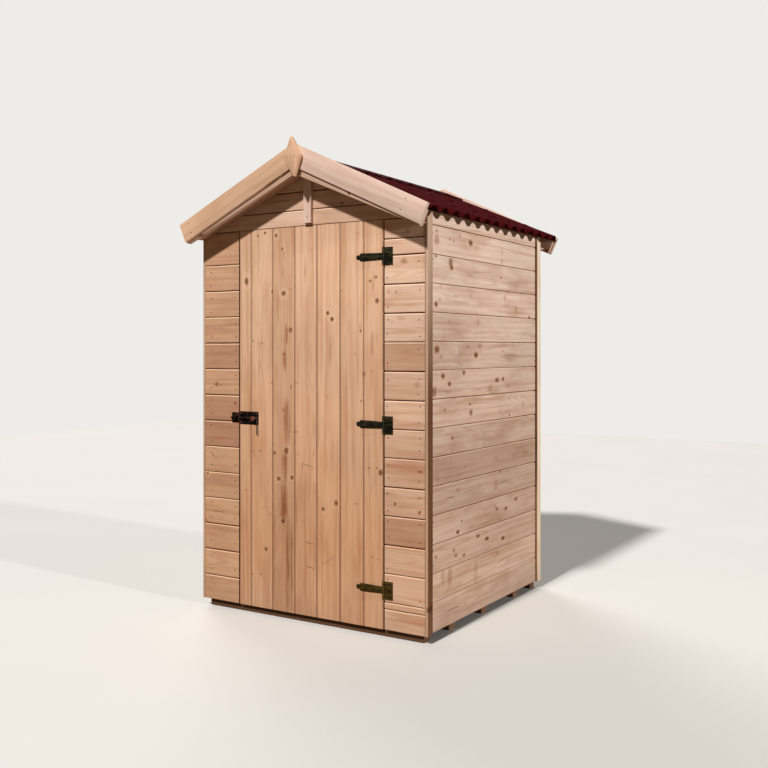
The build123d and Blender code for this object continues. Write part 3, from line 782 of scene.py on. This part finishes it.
panel_knots = (
    (489, 1548, 14, 1.3, 0.6), (451, 1423, 6, 1, 0.6), (475, 1317, 10, 2, 0.4), (432, 1301, 6, 1, 0.5),
    (550, 1045, 14, 1, 0.45), (564, 695, 7, 2, 0.7), (446, 556, 8, 1, 0.8), (560, 530, 9, 1, 0.7),
    (494, 1178, 10, 3, 0.3), (-516, 1029, 12, 1.2, 0.7), (-491, 1025, 7, 1, 0.7), (-571, 615, 9, 1, 0.9),
    (-571, 921, 6, 1, 0.8), (-540, 700, 7, 1, 0.6), (-522, 687, 6, 1, 0.6), (-473, 1214, 9, 3, 0.35),
    (-497, 781, 9, 3, 0.35), (-534, 247, 7, 1, 0.4), (-546, 130, 6, 1, 0.6), (-38, 1861, 7, 1, 0.6),
    (184, 1808, 8, 1, 0.7), (508, 1669, 7, 0.5, 0.7), (432, 1666, 4, 1, 0.5),
)
side_knots = (
    (-477, 1637, 20, 0.8, 0.6), (-477, 1674, 8, 1, 0.6), (-485, 1571, 9, 1, 0.7),
    (-355, 1552, 20, 0.6, 0.75), (-346, 1532, 12, 0.9, 0.9), (-364, 1652, 7, 1, 0.6),
    (-328, 1647, 6, 1, 0.6), (-273, 1674, 7, 1, 0.6), (-170, 1653, 16, 1, 0.9), (137, 1520, 7, 1, 0.9),
    (148, 1595, 12, 0.5, 0.45), (148, 1636, 10, 0.5, 0.4), (180, 1429, 12, 0.6, 0.45),
    (304, 1377, 16, 0.5, 0.45), (-310, 1415, 9, 1, 0.35), (-451, 1392, 10, 1, 0.4),
    (-442, 1450, 8, 0.6, 0.35), (-170, 1422, 9, 1, 0.3), (-101, 1310, 14, 0.5, 0.35),
    (-373, 1303, 9, 1, 0.35), (-477, 1188, 18, 1, 0.85), (-442, 1157, 9, 1, 0.5), (-121, 1164, 15, 1, 1),
    (-82, 1204, 14, 1, 0.5), (158, 1181, 5, 1, 0.9), (-425, 1078, 14, 1, 0.85), (-368, 1044, 12, 1, 0.85),
    (94, 1048, 14, 1.2, 0.8), (158, 1051, 11, 1, 0.85), (20, 1014, 16, 1, 0.5), (214, 1017, 10, 1, 0.5),
    (-498, 1015, 20, 0.6, 0.7), (-179, 951, 8, 1, 0.8), (-170, 913, 14, 0.7, 0.75), (-408, 937, 7, 1, 0.7),
    (386, 919, 14, 0.6, 0.4), (126, 904, 8, 1, 0.4), (-341, 815, 9, 1, 0.85), (-227, 681, 9, 1, 0.5),
    (-468, 653, 8, 1, 0.5), (83, 691, 12, 0.8, 0.4), (-292, 590, 9, 1, 0.5), (83, 567, 18, 0.45, 0.45),
    (304, 474, 12, 1.3, 0.7), (94, 455, 11, 1.2, 0.7), (191, 444, 11, 1.2, 0.8), (72, 472, 7, 1, 0.6),
    (-217, 494, 8, 1, 0.4), (-255, 452, 6, 1, 0.8), (-292, 411, 12, 1, 0.9), (-101, 363, 10, 1.4, 0.8),
    (-11, 337, 12, 1.4, 0.9), (158, 311, 12, 1.4, 0.9), (-485, 339, 9, 1, 0.6), (-328, 340, 9, 1, 0.7),
    (-310, 314, 9, 1, 0.7), (-236, 303, 9, 1, 0.7), (-364, 234, 26, 0.3, 0.5), (-425, 246, 22, 0.3, 0.35),
    (-121, 207, 26, 0.2, 0.35), (94, 253, 8, 1, 0.5), (236, 1153, 10, 9, -0.55), (236, 1167, 8, 9, -0.5),
    (-292, 1156, 9, 6, -0.4), (-292, 1135, 9, 6, -0.4), (-179, 1513, 8, 4, -0.4), (240, 1138, 8, 9, -0.4),
    (-420, 1010, 12, 5, -0.5), (60, 1000, 14, 4, -0.5),
)
side_cracks = (
    (-510, 1103, -264, 1107, 1), (-264, 1109, -259, 1124, 1), (-485, 685, -310, 690, 0.8),
    (-355, 740, -359, 690, 0.8), (-341, 769, -341, 752, 1), (-390, 568, -319, 566, 1),
    (-255, 570, -82, 573, 0.7), (94, 570, 236, 572, 0.9), (180, 688, 471, 688, 0.5),
    (-236, 1522, 20, 1537, 0.5), (72, 206, 281, 217, 0.7), (-382, 95, -255, 92, 1),
    (-417, 1277, -412, 1228, 0.6), (-485, 708, -477, 645, 0.4), (-43, 841, -41, 752, 0.9),
)

first_seam, course = base_z + 1.5426, 0.119
first_side_seam, side_course = base_z + 1.545, 0.1186
front_seams = [first_seam - course * k for k in range(13)]
right_seams = front_seams + [base_z + 1.610, base_z + 0.087]
side_seams = [first_side_seam - side_course * k for k in range(-1, 13)]
rear_seams = [first_side_seam - side_course * k for k in range(-4, 13)]
board_end = wall_x - 0.0012

front_marks = (0, knots(panel_knots))
# painted shade: a dark spot at the rear end of each side seam, where the shadow of the lap meets the corner strip
seam_end_shade = [((first_side_seam - side_course * k) * 1000 - 4) for k in range(-1, 13)]
seam_end_shade = knots([(526, height, 6, 1, 0.95) for height in seam_end_shade])
side_marks = (1, knots(side_knots, widen=1.5) + seam_end_shade + cracks(side_cracks))
left_marks = (1, knots([(-row[0],) + row[1:] for row in side_knots], widen=1.5))
rear_marks = (0, knots(side_knots, widen=1.5) + cracks(side_cracks))
door_marks = (0, knots(door_knots, standing=True) + cracks(door_cracks))


def right_slope(z):
    """Level distance from the ridge line to the roof at height z, and no more than to the corner."""
    return np.clip((wall_top - z) / rise, 0.0, board_end)


def left_slope(z):
    """The same distance to the left."""
    return -right_slope(z)


on_front = ((0, front_y), level_x, level_y)
courses("front_left_boards", front_seams, base_z, head_z, *on_front, left_slope, opening_left,
        left_pine, ("front_wall_left", "front_boards"), front_marks,
        (0.5, 0.6, 0.35, 0.55, 0.35, 0.5, 0.05, 0.12, 0.6, 0.15, 0.45, 0.6, 0.75, 0.8))
courses("front_right_boards", right_seams, base_z, head_z, *on_front, opening_right, right_slope,
        right_pine, ("front_wall_right", "front_boards"), front_marks,
        (0.6, 0.7, 0.75, 0.6, 0.1, 0.6, 0.7, 0.65, 0.75, 0.35, 0.05, 0.7, 0.8, 0.9, 0.85, 0.9))
courses("front_gable_boards", [head_z + 0.070, head_z + 0.150], head_z, wall_top, *on_front, left_slope, right_slope,
        right_pine, ("front_gable", "front_boards"), front_marks, (0.8, 0.7, 0.6))
courses("right_side_boards", side_seams, base_z, side_top, (wall_x, 0), level_y, (-1, 0, 0), frame_y, -frame_y,
        side_pine, ("right_wall", "side_boards"), side_marks,
        (0.6, 0.75, 0.6, 0.6, 0.3, 0.15, 0.4, 0.75, 0.65, 0.4, 0.6, 0.85, 0.7, 0.9, 0.85), (9, -0.285), 0.0027)
courses("left_side_boards", side_seams, base_z, side_top, (-wall_x, 0), level_y, level_x, frame_y, -frame_y,
        side_pine, ("left_wall", "side_boards"), left_marks, split=(4, 0.21), gap=0.0034)
courses("rear_boards", rear_seams, base_z, wall_top, (0, -front_y), level_x, forward, left_slope, right_slope,
        side_pine, ("rear_wall", "side_boards"), rear_marks, gap=0.0034)


# Door leaf: boards with painted brown shade in and beside the grooves between them, and three ledges behind

door_seams = [-0.3105, -0.188, -0.0655, 0.0533, 0.1755, 0.2939]
door_tones = (0.6, 0.7, 0.3, 0.6, 0.75, 0.6, 0.7)
edges = [door_left] + door_seams + [door_right]
parts = []
for tone, x0, x1 in zip(door_tones, edges[:-1], edges[1:]):
    ring = lapped(x1 - x0, x0 > door_left, x1 < door_right, gap=0.0026, drop=rng.uniform(0, 0.0007),
                  count=10, half=0.0036)
    # painted shade: the rounded edge and the chamfer of each door board are painted brown beside the groove, instead
    # of a painted highlight
    ring[:3, 2] = -0.2
    ring[:, 2] = np.where(ring[:, 2] > 0, -0.25, ring[:, 2])
    if x1 == door_right:
        ring[:, 0] = np.minimum(ring[:, 0], x1 - x0)
    length = door_top + 0.0022 - base_z
    parts.append(plank((x0, front_y, base_z), plumb, level_x, level_y, ring, 0.0, length, 140, 0.0003, tone))
make("door_leaf_boards", parts, door_pine, "door", ["door_boards"], marks=door_marks)

ledge_inset = 0.024
ledge_ends = (door_left + ledge_inset, door_right - ledge_inset)
ring = eased(-0.060, 0.060, 0.020, 0.002)
parts = [plank((0, frame_y, middle), level_x, plumb, level_y, ring, *ledge_ends, 8, 0.0) for middle in ledge_heights]
make("door_ledge_boards", parts, frame_pine, "door", ["door_ledges"])


def nail_rows(columns, seams, place):
    """Two nails to a board in each column, each a few millimetres out, about one in five missing."""
    spots = [(c, z0 + lift) for c in columns for z0 in seams for lift in (0.028, 0.088)]
    return [place(c + rng.uniform(-0.005, 0.005), z + rng.uniform(-0.008, 0.008))
            for c, z in spots if rng.uniform() < 0.8]


def heads(name, spots, outward, radius, height, material, body, sides=10):
    """Low round heads of nails or screws, all in one mesh."""
    make(name, [domes(spots, outward, radius, height, sides)], material, body)


side_nail_seams = side_seams[1:-1]
for name, outward, spots in (
    ("front_wall_nails", forward,
     nail_rows((-0.550, -0.403, 0.413, 0.562), front_seams[1:], lambda c, z: (c, front_y, z))),
    ("right_side_nails", level_x, nail_rows((-0.512, 0.535), side_nail_seams, lambda c, z: (wall_x, c, z))),
    ("left_side_nails", (-1, 0, 0), nail_rows((-0.512, 0.512), side_nail_seams, lambda c, z: (-wall_x, c, z))),
    ("rear_wall_nails", level_y,
     nail_rows((-0.562, -0.010, 0.562), rear_seams[4:-1], lambda c, z: (c, -front_y, z))),
):
    heads(name, spots, outward, 0.0028, 0.0008, nail_steel, "shed", 8)
spots = [(x / 1000, front_y, z / 1000) for x, z in door_nails]
heads("door_nail_heads", spots, forward, 0.0032, 0.0008, nail_steel, "door", 8)


# Corner strips, bargeboards, verge boards and the lining boards behind them

def corner_strip(name, x0, x1, y0, y1, material, node):
    """An eased strip over the ends of the boards at one corner: its ring carried up the wall."""
    ring = eased(0.0, abs(x1 - x0), abs(y1 - y0), 0.0015)
    corner = (min(x0, x1), min(y0, y1), 0)
    part = plank(corner, plumb, level_x, level_y, ring, base_z, side_top - trim_sink, 14, 0.0003)
    make(name, [part], material, "shed", [node])


def sloping(name, side, low, high, reach_low, reach_high, angle, y_near, y_far, material, node):
    """A board along the gable slope with a plumb cut at the ridge and a square end at the eave.

    low and high are its edges at the ridge, and the reaches its corners at the eave, measured
    level.  v runs square to the slope down from the upper edge; along runs down the slope.
    """
    c, s = cos(angle), sin(angle)
    along = np.array([side * c, 0, -s])
    across = np.array([side * -s, 0, -c])
    width = (high - low) * c
    ring = eased(0.0, width, y_far - y_near, 0.002)
    run_high = reach_high / c
    run_low = (reach_low + width * s) / c
    part = plank((0, y_near, high), along, across, level_y, ring, lambda v: v * s / c,
                 lambda v: run_high + (run_low - run_high) * v / width, 14, 0.0004)
    make(name, [part], material, "shed", [node] if node else ())


def mirrored(near, far, end):
    """Two depths at the front end (-1), or the same two seen from behind (1)."""
    return (near, far) if end < 0 else (-far, -near)


corners = [(side, side_name, end, end_name) for side, side_name in ((1, "right"), (-1, "left"))
           for end, end_name in ((-1, "front"), (1, "rear"))]
for side, side_name, end, end_name in corners:
    corner_strip(f"{end_name}_{side_name}_corner_strip", side * wall_x, side * half_width,
                 end * -front_y, end * (-front_y - trim_wide),
                 corner_pine if end < 0 else trim_pine, f"{end_name}_{side_name}_trim")

barge_low = roof_top - barge_wide / cos(barge_pitch)
cut_x = eave_reach - barge_wide * sin(barge_pitch)
verge_reach = cut_x - 0.004
for side, side_name, end, end_name in corners:
    where = f"{end_name}_{side_name}"
    drop = 0.009 if end > 0 else 0.0
    look = barge_pine if side > 0 else left_barge_pine
    near, far = mirrored(barge_y, verge_y, end)
    sloping(f"{where}_barge", side, barge_low - drop, roof_top - drop, cut_x, eave_reach, barge_pitch,
            near, far, look, f"{where}_bargeboard")
    near, far = mirrored(verge_y - 0.008, verge_back_y, end)
    sloping(f"{where}_verge", side, bearing_top - verge_wide * upright, bearing_top,
            verge_reach, verge_reach + verge_wide * sin(pitch), pitch, near, far, verge_pine, f"{where}_verge_board")
    near, far = mirrored(verge_back_y, front_y - 0.0003, end)
    sloping(f"{where}_soffit", side, wall_top - 0.008, wall_top, wall_x, wall_x, pitch, near, far, verge_pine, None)

# diamond on the gable peak: a kite-shaped plate whose four edges are slightly rounded, so that
# at each of six depths the outline is drawn in to a share of its size
finial_thick, middle_x, middle_z = 0.018, 0.008, roof_top - 0.061
tips = np.array([[0.045, 0.004], [-0.004, 0.085], [-0.042, -0.008], [0.012, -0.085]])
shares = np.array([0.965, 0.99, 1.0, 1.0, 0.99, 0.965])
depths = np.array([-0.006, -0.0054, -0.004, 0.016, 0.0174, 0.018]) + barge_y - finial_thick
t = np.linspace(0, 1, 7)[:-1, None]
outline = np.concatenate([tips[i] * (1 - t) + tips[(i + 1) % 4] * t for i in range(4)])
points = np.empty((len(shares), len(outline), 3))
points[..., 0] = middle_x + shares[:, None] * outline[:, 0]
points[..., 1] = depths[:, None]
points[..., 2] = middle_z + shares[:, None] * outline[:, 1]
verts, faces = loft(points)
grain = np.stack([verts[:, 2], verts[:, 0] + 0.02, verts[:, 1] + 0.70], axis=-1)
# painted shade: the faces of the lower right edge, which turn away from the light, get a brown gap tone
painted_shade_faces = (verts[:, 0] > middle_x + 0.001) & (verts[:, 2] < middle_z + 0.001) & (verts[:, 1] > barge_y - 0.0165)
part = (verts, faces, grain, np.where(painted_shade_faces, -0.5, 0.7))
make("gable_diamond", [part], left_barge_pine, "shed", ["gable_finial"])

batten_thick = 0.016
batten_y = front_y - batten_thick
part = plank((-0.008, batten_y, 0), plumb, level_x, level_y, eased(0.0, 0.040, batten_thick, 0.0015),
             head_z + 0.008, lambda v: wall_top - np.abs(v - 0.008) * rise, 6, 0.0002, tone=0.9)
make("gable_strip", [part], barge_pine, "shed", ["gable_batten"])
spots = [(0.557, barge_y, 1.784), (0.533, barge_y, 1.741), (-0.600, barge_y, 1.765), (-0.582, barge_y, 1.722)]
spots += [(-0.017, barge_y - 0.024, 2.005), (0.025, barge_y - 0.024, 2.005), (0.011, batten_y, 1.760)]
heads("gable_nails", spots, forward, 0.0028, 0.0008, nail_steel, "shed", 8)


# Floor and frame timbers

floor_front = frame_y + 0.005
run = -frame_y - timber - floor_front
ring = eased(0.0, timber, timber, 0.002)
parts = [plank((0, floor_front + share * run, 0), level_x, plumb, level_y, ring, -frame_x, frame_x, 12, 0.0)
         for share in (0, 0.2, 0.49, 0.81, 1)]
make("floor_bearers", parts, dark_bearer_pine, "shed", ["bearers"])

parts = []
edges = np.linspace(-frame_x, frame_x, 13)
for x0, x1 in zip(edges[:-1], edges[1:]):
    ring = eased(0.0006, x1 - x0 - 0.0006, floor_thick, 0.001)
    top = (x0, 0, timber + floor_thick)
    parts.append(plank(top, level_y, level_x, (0, 0, -1), ring, floor_front, -frame_y, 10, 0.0))
make("floor_board_set", parts, frame_pine, "shed", ["floor_boards"])

along_x, along_y, along_z = (0, 0, 0), (0, 0, pi / 2), (0, pi / 2, 0)
for node, turn in (("corner_posts", along_z), ("door_posts", along_z), ("wall_studs", along_z),
                   ("bottom_rails", along_x), ("wall_plates", along_y), ("front_rafters", along_x),
                   ("rear_rafters", along_x), ("door_head", along_x), ("left_purlins", along_y),
                   ("right_purlins", along_y)):
    target = bpy.data.objects[node]
    shades = purlin_shades if "purlins" in node else sawn_shades
    look = pine(f"sawn_{node}", *shades, knots=0.3, turn=turn)
    for slot_of in target.material_slots:
        slot_of.material = look
    if not target.material_slots:
        target.data.materials.append(look)


# Roof

def wave_level(y):
    """Height of the middle of the sheet over its mean line: half waves drawn as circular arcs."""
    half, swing = wave / 2, (wave_tall - sheet_thick) / 2
    radius = (half * half / 4 + swing * swing) / (2 * swing)
    count = np.round((y - first_crest) / half)
    t = (y - first_crest) - count * half
    return np.where(count % 2 == 0, 1.0, -1.0) * (np.sqrt(radius ** 2 - t ** 2) - (radius - swing))


def roof_sheet(side, name, node):
    """Corrugated sheet: the wave across Y carried down the slope, with a slight sag between
    the purlins, a slightly uneven lower edge, and 3 mm of thickness."""
    across = np.linspace(-0.655, 0.655, 262)
    level = wave_level(across)
    c, s = cos(pitch), sin(pitch)
    start = 0.030
    run = (eave_reach - start) * upright
    along = np.concatenate([np.linspace(0, run - 0.004, 15), [run]])[:, None]
    sag = -0.0012 * np.sin(pi * np.clip(along / run, 0, 1) * 2) ** 2 * (0.5 + 0.5 * np.sin(across * 3.1 + side))
    stray = 0.0016 * np.sin(across * 41.0 + side) + 0.0012 * np.sin(across * 17.3)
    edge = along + np.where(along > run - 0.001, stray - 0.0018, 0.0)
    low = (wave_tall - sheet_thick) / 2 + level + sag
    both = np.concatenate([low + sheet_thick, low[:, ::-1]], axis=1)
    ys = np.broadcast_to(np.concatenate([across, across[::-1]]), both.shape)
    runs = np.concatenate([edge, edge[:, ::-1]], axis=1)
    x = side * (start + runs * c + both * s)
    z = (bearing_top - start * rise) - runs * s + both * c
    verts, faces = loft(np.stack([x, ys, z], axis=-1), "strip")
    crest = np.broadcast_to(np.concatenate([level, level[::-1]]) / 0.025 + 0.5, both.shape)
    grain = np.stack([runs, ys, crest], axis=-1).reshape(-1, 3)
    make(name, [(verts, faces, grain, 0.5)], roof_felt, "shed", [node], crease=50)


roof_sheet(1, "right_corrugated_sheet", "right_roof_sheet")
roof_sheet(-1, "left_corrugated_sheet", "left_roof_sheet")

# ridge cap: an arc between two wings as the lower line, a second line one thickness out from it,
# both carried along Y, with a ripple that grows towards the lower edges
c, s = cos(pitch), sin(pitch)
radius = 0.050
t = np.linspace(-pitch, pitch, 11)
wing = np.linspace(radius * s, 0.1185, 7)[1:]
line_x = np.concatenate([-wing[::-1], radius * np.sin(t), wing])
line_z = crest_top - np.concatenate([wing[::-1] * rise, radius * (upright - np.cos(t)), wing * rise])
out = np.clip(line_x / (radius * s), -1, 1) * s
up = np.sqrt(1 - out ** 2)
ring_x = np.concatenate([line_x, (line_x + out * sheet_thick)[::-1]])
ring_z = np.concatenate([line_z, (line_z + up * sheet_thick)[::-1]])
ys = np.linspace(verge_y + 0.001, -verge_y - 0.001, 60)[:, None]
ripple = (0.0009 * np.sin(ys * 2 * pi / wave + 1.0) + 0.0004) * np.abs(ring_x) / 0.12
points = np.stack(np.broadcast_arrays(ring_x, ys, ring_z + ripple), axis=-1)
verts, faces = loft(points, "strip")
grain = np.stack([verts[:, 0], verts[:, 1], np.full(len(verts), 0.45)], axis=-1)
make("ridge_capping", [(verts, faces, grain, 0.5)], roof_felt, "shed", ["ridge_cap"], crease=40)

# round-headed fixings through every second crest, over the purlins and the wings of the cap
crest_ys = first_crest + wave * np.arange(0, 14, 2)
for side, side_name in ((1, "right"), (-1, "left")):
    spots = []
    for reach, proud in ((0.105, sheet_thick * upright), (0.330, 0.0), (0.545, 0.0)):
        spots += [(side * reach, y, crest_top - reach * rise + proud + 0.0005) for y in crest_ys]
    heads(f"{side_name}_roof_fixings", spots, (side * s, 0, c), 0.011, 0.005, roof_felt, "shed")


# Hinges: on the wall a plate with two knuckles and a pin, on the door a strap with the third

def seen_flat(rows, level):
    """Outline rows (x from the pin, z from the middle of the hinge) at their place on the front."""
    return np.asarray(rows) + [pin_x, level]


plate_edge = ((0.0, -0.037), (0.042, -0.037), (0.043, -0.036), (0.043, 0.036), (0.042, 0.037), (0.0, 0.037),
              (0.0, 0.0155), (0.0055, 0.0155), (0.0055, -0.0155), (0.0, -0.0155))
strap_edge = np.array([[0.0, 0.0136], [-0.006, 0.0136], [-0.060, 0.0155],
                       [-0.1135, 0.0162], [-0.1175, 0.0150], [-0.1188, 0.0122]])
strap_tip = arc((-0.126, 0), 0.010, 48, 312, 15)
strap_edge = np.concatenate([strap_tip, strap_edge[::-1] * [1, -1], strap_edge])
pin_end = ((0.0014, 0.0386), (0.0030, 0.0380), (0.0030, 0.0368), (0.0023, 0.0366))
pin_rows = [(r, -h) for r, h in pin_end] + list(pin_end[::-1])

plates, straps, screws, strap_screws = [], [], [], []
for middle in hinge_heights:
    pin = (pin_x, pin_y, middle)
    plates.append(cut_plate(seen_flat(plate_edge, middle), front_y - plate_thick, plate_thick, 0.0005))
    for low, high in ((-0.037, -0.0155), (0.0155, 0.037)):
        rows = ((0.0042, low), (0.005, low + 0.0006), (0.005, high - 0.0006), (0.0042, high))
        plates.append(turned(rows, pin, plumb))
    plates.append(turned(pin_rows, pin, plumb, 12))
    screws += [(pin_x + 0.028, front_y - plate_thick, middle + lift) for lift in (-0.027, 0.0, 0.027)]
    straps.append(cut_plate(seen_flat(strap_edge, middle), front_y - strap_thick, strap_thick, 0.0008))
    straps.append(hoop(pin, plumb, 0.0025, 0.005, -0.015, 0.015))
    strap_screws += [(pin_x - out, front_y - strap_thick, middle + lift)
                     for out, lift in ((0.126, 0.0), (0.088, 0.0), (0.048, 0.0), (0.020, -0.002))]

make("hinge_plate_set", plates, hinge_iron, "shed", ["hinge_plates"])
make("hinge_strap_set", straps, hinge_iron, "door", ["hinge_straps"])
heads("hinge_plate_screws", screws, forward, 0.0042, 0.0012, black_iron, "shed")
heads("hinge_strap_screws", strap_screws, forward, 0.0042, 0.0014, black_iron, "door")


# Sliding bolt: plate with two raised bands and two square guides, keeper with one guide

def band(low, high, foot, top, proud=0.0, thick=bolt_plate_thick, bevel=0.0006):
    """A cut plate with round corners, between two heights measured from the middle of the bolt."""
    outline = rounded(low, high, bolt_z + foot, bolt_z + top)
    return cut_plate(outline, metal_y - proud, thick, bevel)


plate_left, plate_right, metal_y = -0.3772, -0.269, front_y - bolt_plate_thick
band_left, band_right = plate_left + 0.002, plate_right - 0.002
parts = [band(plate_left, plate_right, -0.029, 0.029),
         band(band_left, band_right, 0.0135, 0.0265, 0.003, 0.0032, 0.0012),
         band(band_left, band_right, -0.0265, -0.0135, 0.002, 0.0022, 0.0010)]
parts += [hoop((low, bolt_y, bolt_z), level_x, 0.0056, 0.0100, 0.0, 0.009, 0.0080) for low in (-0.356, -0.339)]
make("bolt_plate_iron", parts, black_iron, "door", ["bolt_plate"])
spots = [(x, metal_y - 0.003, bolt_z + lift)
         for x in (plate_left + 0.009, plate_right - 0.009) for lift in (-0.020, 0.020)]
heads("bolt_plate_screws", spots, forward, 0.0034, 0.0012, rusty_iron, "door")

parts = [band(-0.4235, -0.3845, -0.023, 0.023),
         hoop((-0.407, bolt_y, bolt_z), level_x, 0.0066, 0.0112, 0.0, 0.018, 0.0090),
         domes([(-0.4185, metal_y, bolt_z - 0.002)], forward, 0.0095, 0.006, 14)]
make("bolt_keeper_iron", parts, black_iron, "shed", ["bolt_keeper"])
spots = [(-0.395, metal_y, bolt_z + lift) for lift in (-0.0165, 0.0165)]
heads("bolt_keeper_screws", spots, forward, 0.0034, 0.0012, rusty_iron, "shed")

bar_rows = ((0.0030, 0.0), (0.0046, 0.0008), (0.005, 0.0024), (0.005, 0.1045), (0.0042, 0.1062), (0.002, 0.107))
stem_rows = ((0.0025, 0.0), (0.0025, 0.070), (0.0021, 0.0745), (0.0010, 0.076))
knob_rows = ((0.0052, 0.003), (0.0048, 0.0065), (0.0070, 0.0080), (0.0102, 0.0086), (0.0110, 0.0100),
             (0.0110, 0.0118), (0.0098, 0.0134), (0.0060, 0.0139), (0.0015, 0.0140))
parts = [turned(bar_rows, (plate_left, bolt_y, bolt_z), level_x),
         turned(stem_rows, (-0.2725, bolt_y, bolt_z), (0, 0, -1), 10)]
make("bolt_bar", parts, bar_steel, "bolt", ["door_bolt"])
knob = turned(knob_rows, (-0.288, bolt_y, bolt_z - 0.001), forward, 24)
make("bolt_knob", [knob], rusty_iron, "bolt")


# Camera, lights, floor

picture, focal, horizon = 768, 970.3, 34.2    # in pixels
camera_data = bpy.data.cameras.new("camera")
camera = bpy.data.objects.new("camera", camera_data)
scene.collection.objects.link(camera)
camera_data.sensor_width = 36
camera_data.lens = focal / picture * 36
camera_data.shift_y = -horizon / picture
camera.location = (2.511, -3.964, 1.187)
camera.rotation_euler = (pi / 2, 0, radians(32.0))
scene.camera = camera


def sun(name, elevation, azimuth, strength, angle, colour):
    """A sun whose light comes from the azimuth (degrees from +X towards +Y) and elevation."""
    data = bpy.data.lights.new(name, "SUN")
    data.energy = strength
    data.angle = radians(angle)
    data.color = colour
    lamp = bpy.data.objects.new(name, data)
    scene.collection.objects.link(lamp)
    e, a = radians(elevation), radians(azimuth)
    source = Vector((cos(e) * cos(a), cos(e) * sin(a), sin(e)))
    lamp.rotation_euler = source.to_track_quat("Z", "Y").to_euler()
    lamp.location = source * 6


sun("key", 44.5, -90, 4.0, 4, (1.0, 0.97, 0.93))
sun("side_fill", 8, -4, 2.75, 3, (1.0, 0.98, 0.96))
sun("rear_fill", 28, 142, 1.8, 30, (1.0, 0.98, 0.96))


def camera_ray(tree):
    """1 for what the camera sees itself, and 0 for the light that falls on the building."""
    return add(tree, "ShaderNodeLightPath").outputs["Is Camera Ray"]


world = bpy.data.worlds.new("studio")
scene.world = world
world.use_nodes = True
tree = world.node_tree
background = tree.nodes["Background"]
backdrop = blended(tree, camera_ray(tree), (1.0, 0.82, 0.64, 1), linear(238, 236, 232))
tree.links.new(backdrop, background.inputs["Color"])
tree.links.new(spread(tree, camera_ray(tree), 0, 1, 0.095, 1.0, smooth=False), background.inputs["Strength"])

floor_mesh = bpy.data.meshes.new("studio_floor")
edge = np.linspace(-9, 9, 3)
gx, gy = np.meshgrid(edge, edge)
verts = np.stack([gx.ravel(), gy.ravel(), np.full(9, -0.0005)], axis=-1)
floor_mesh.from_pydata(verts.tolist(), [], [[0, 1, 4, 3], [1, 2, 5, 4], [3, 4, 7, 6], [4, 5, 8, 7]])
floor_look, tree, shader = new_material("studio_floor", 0.9, 0.1)
mottle = noise(tree, object_place(tree), (0.8, 0.8, 0.8), 2)
pale = blended(tree, mottle, linear(203, 202, 200), linear(209, 208, 206))
tree.links.new(blended(tree, camera_ray(tree), (0.17, 0.13, 0.09, 1), pale), shader.inputs["Base Color"])
floor_mesh.materials.append(floor_look)
floor_piece = bpy.data.objects.new("studio_floor", floor_mesh)
scene.collection.objects.link(floor_piece)

scene.view_settings.view_transform = "Standard"
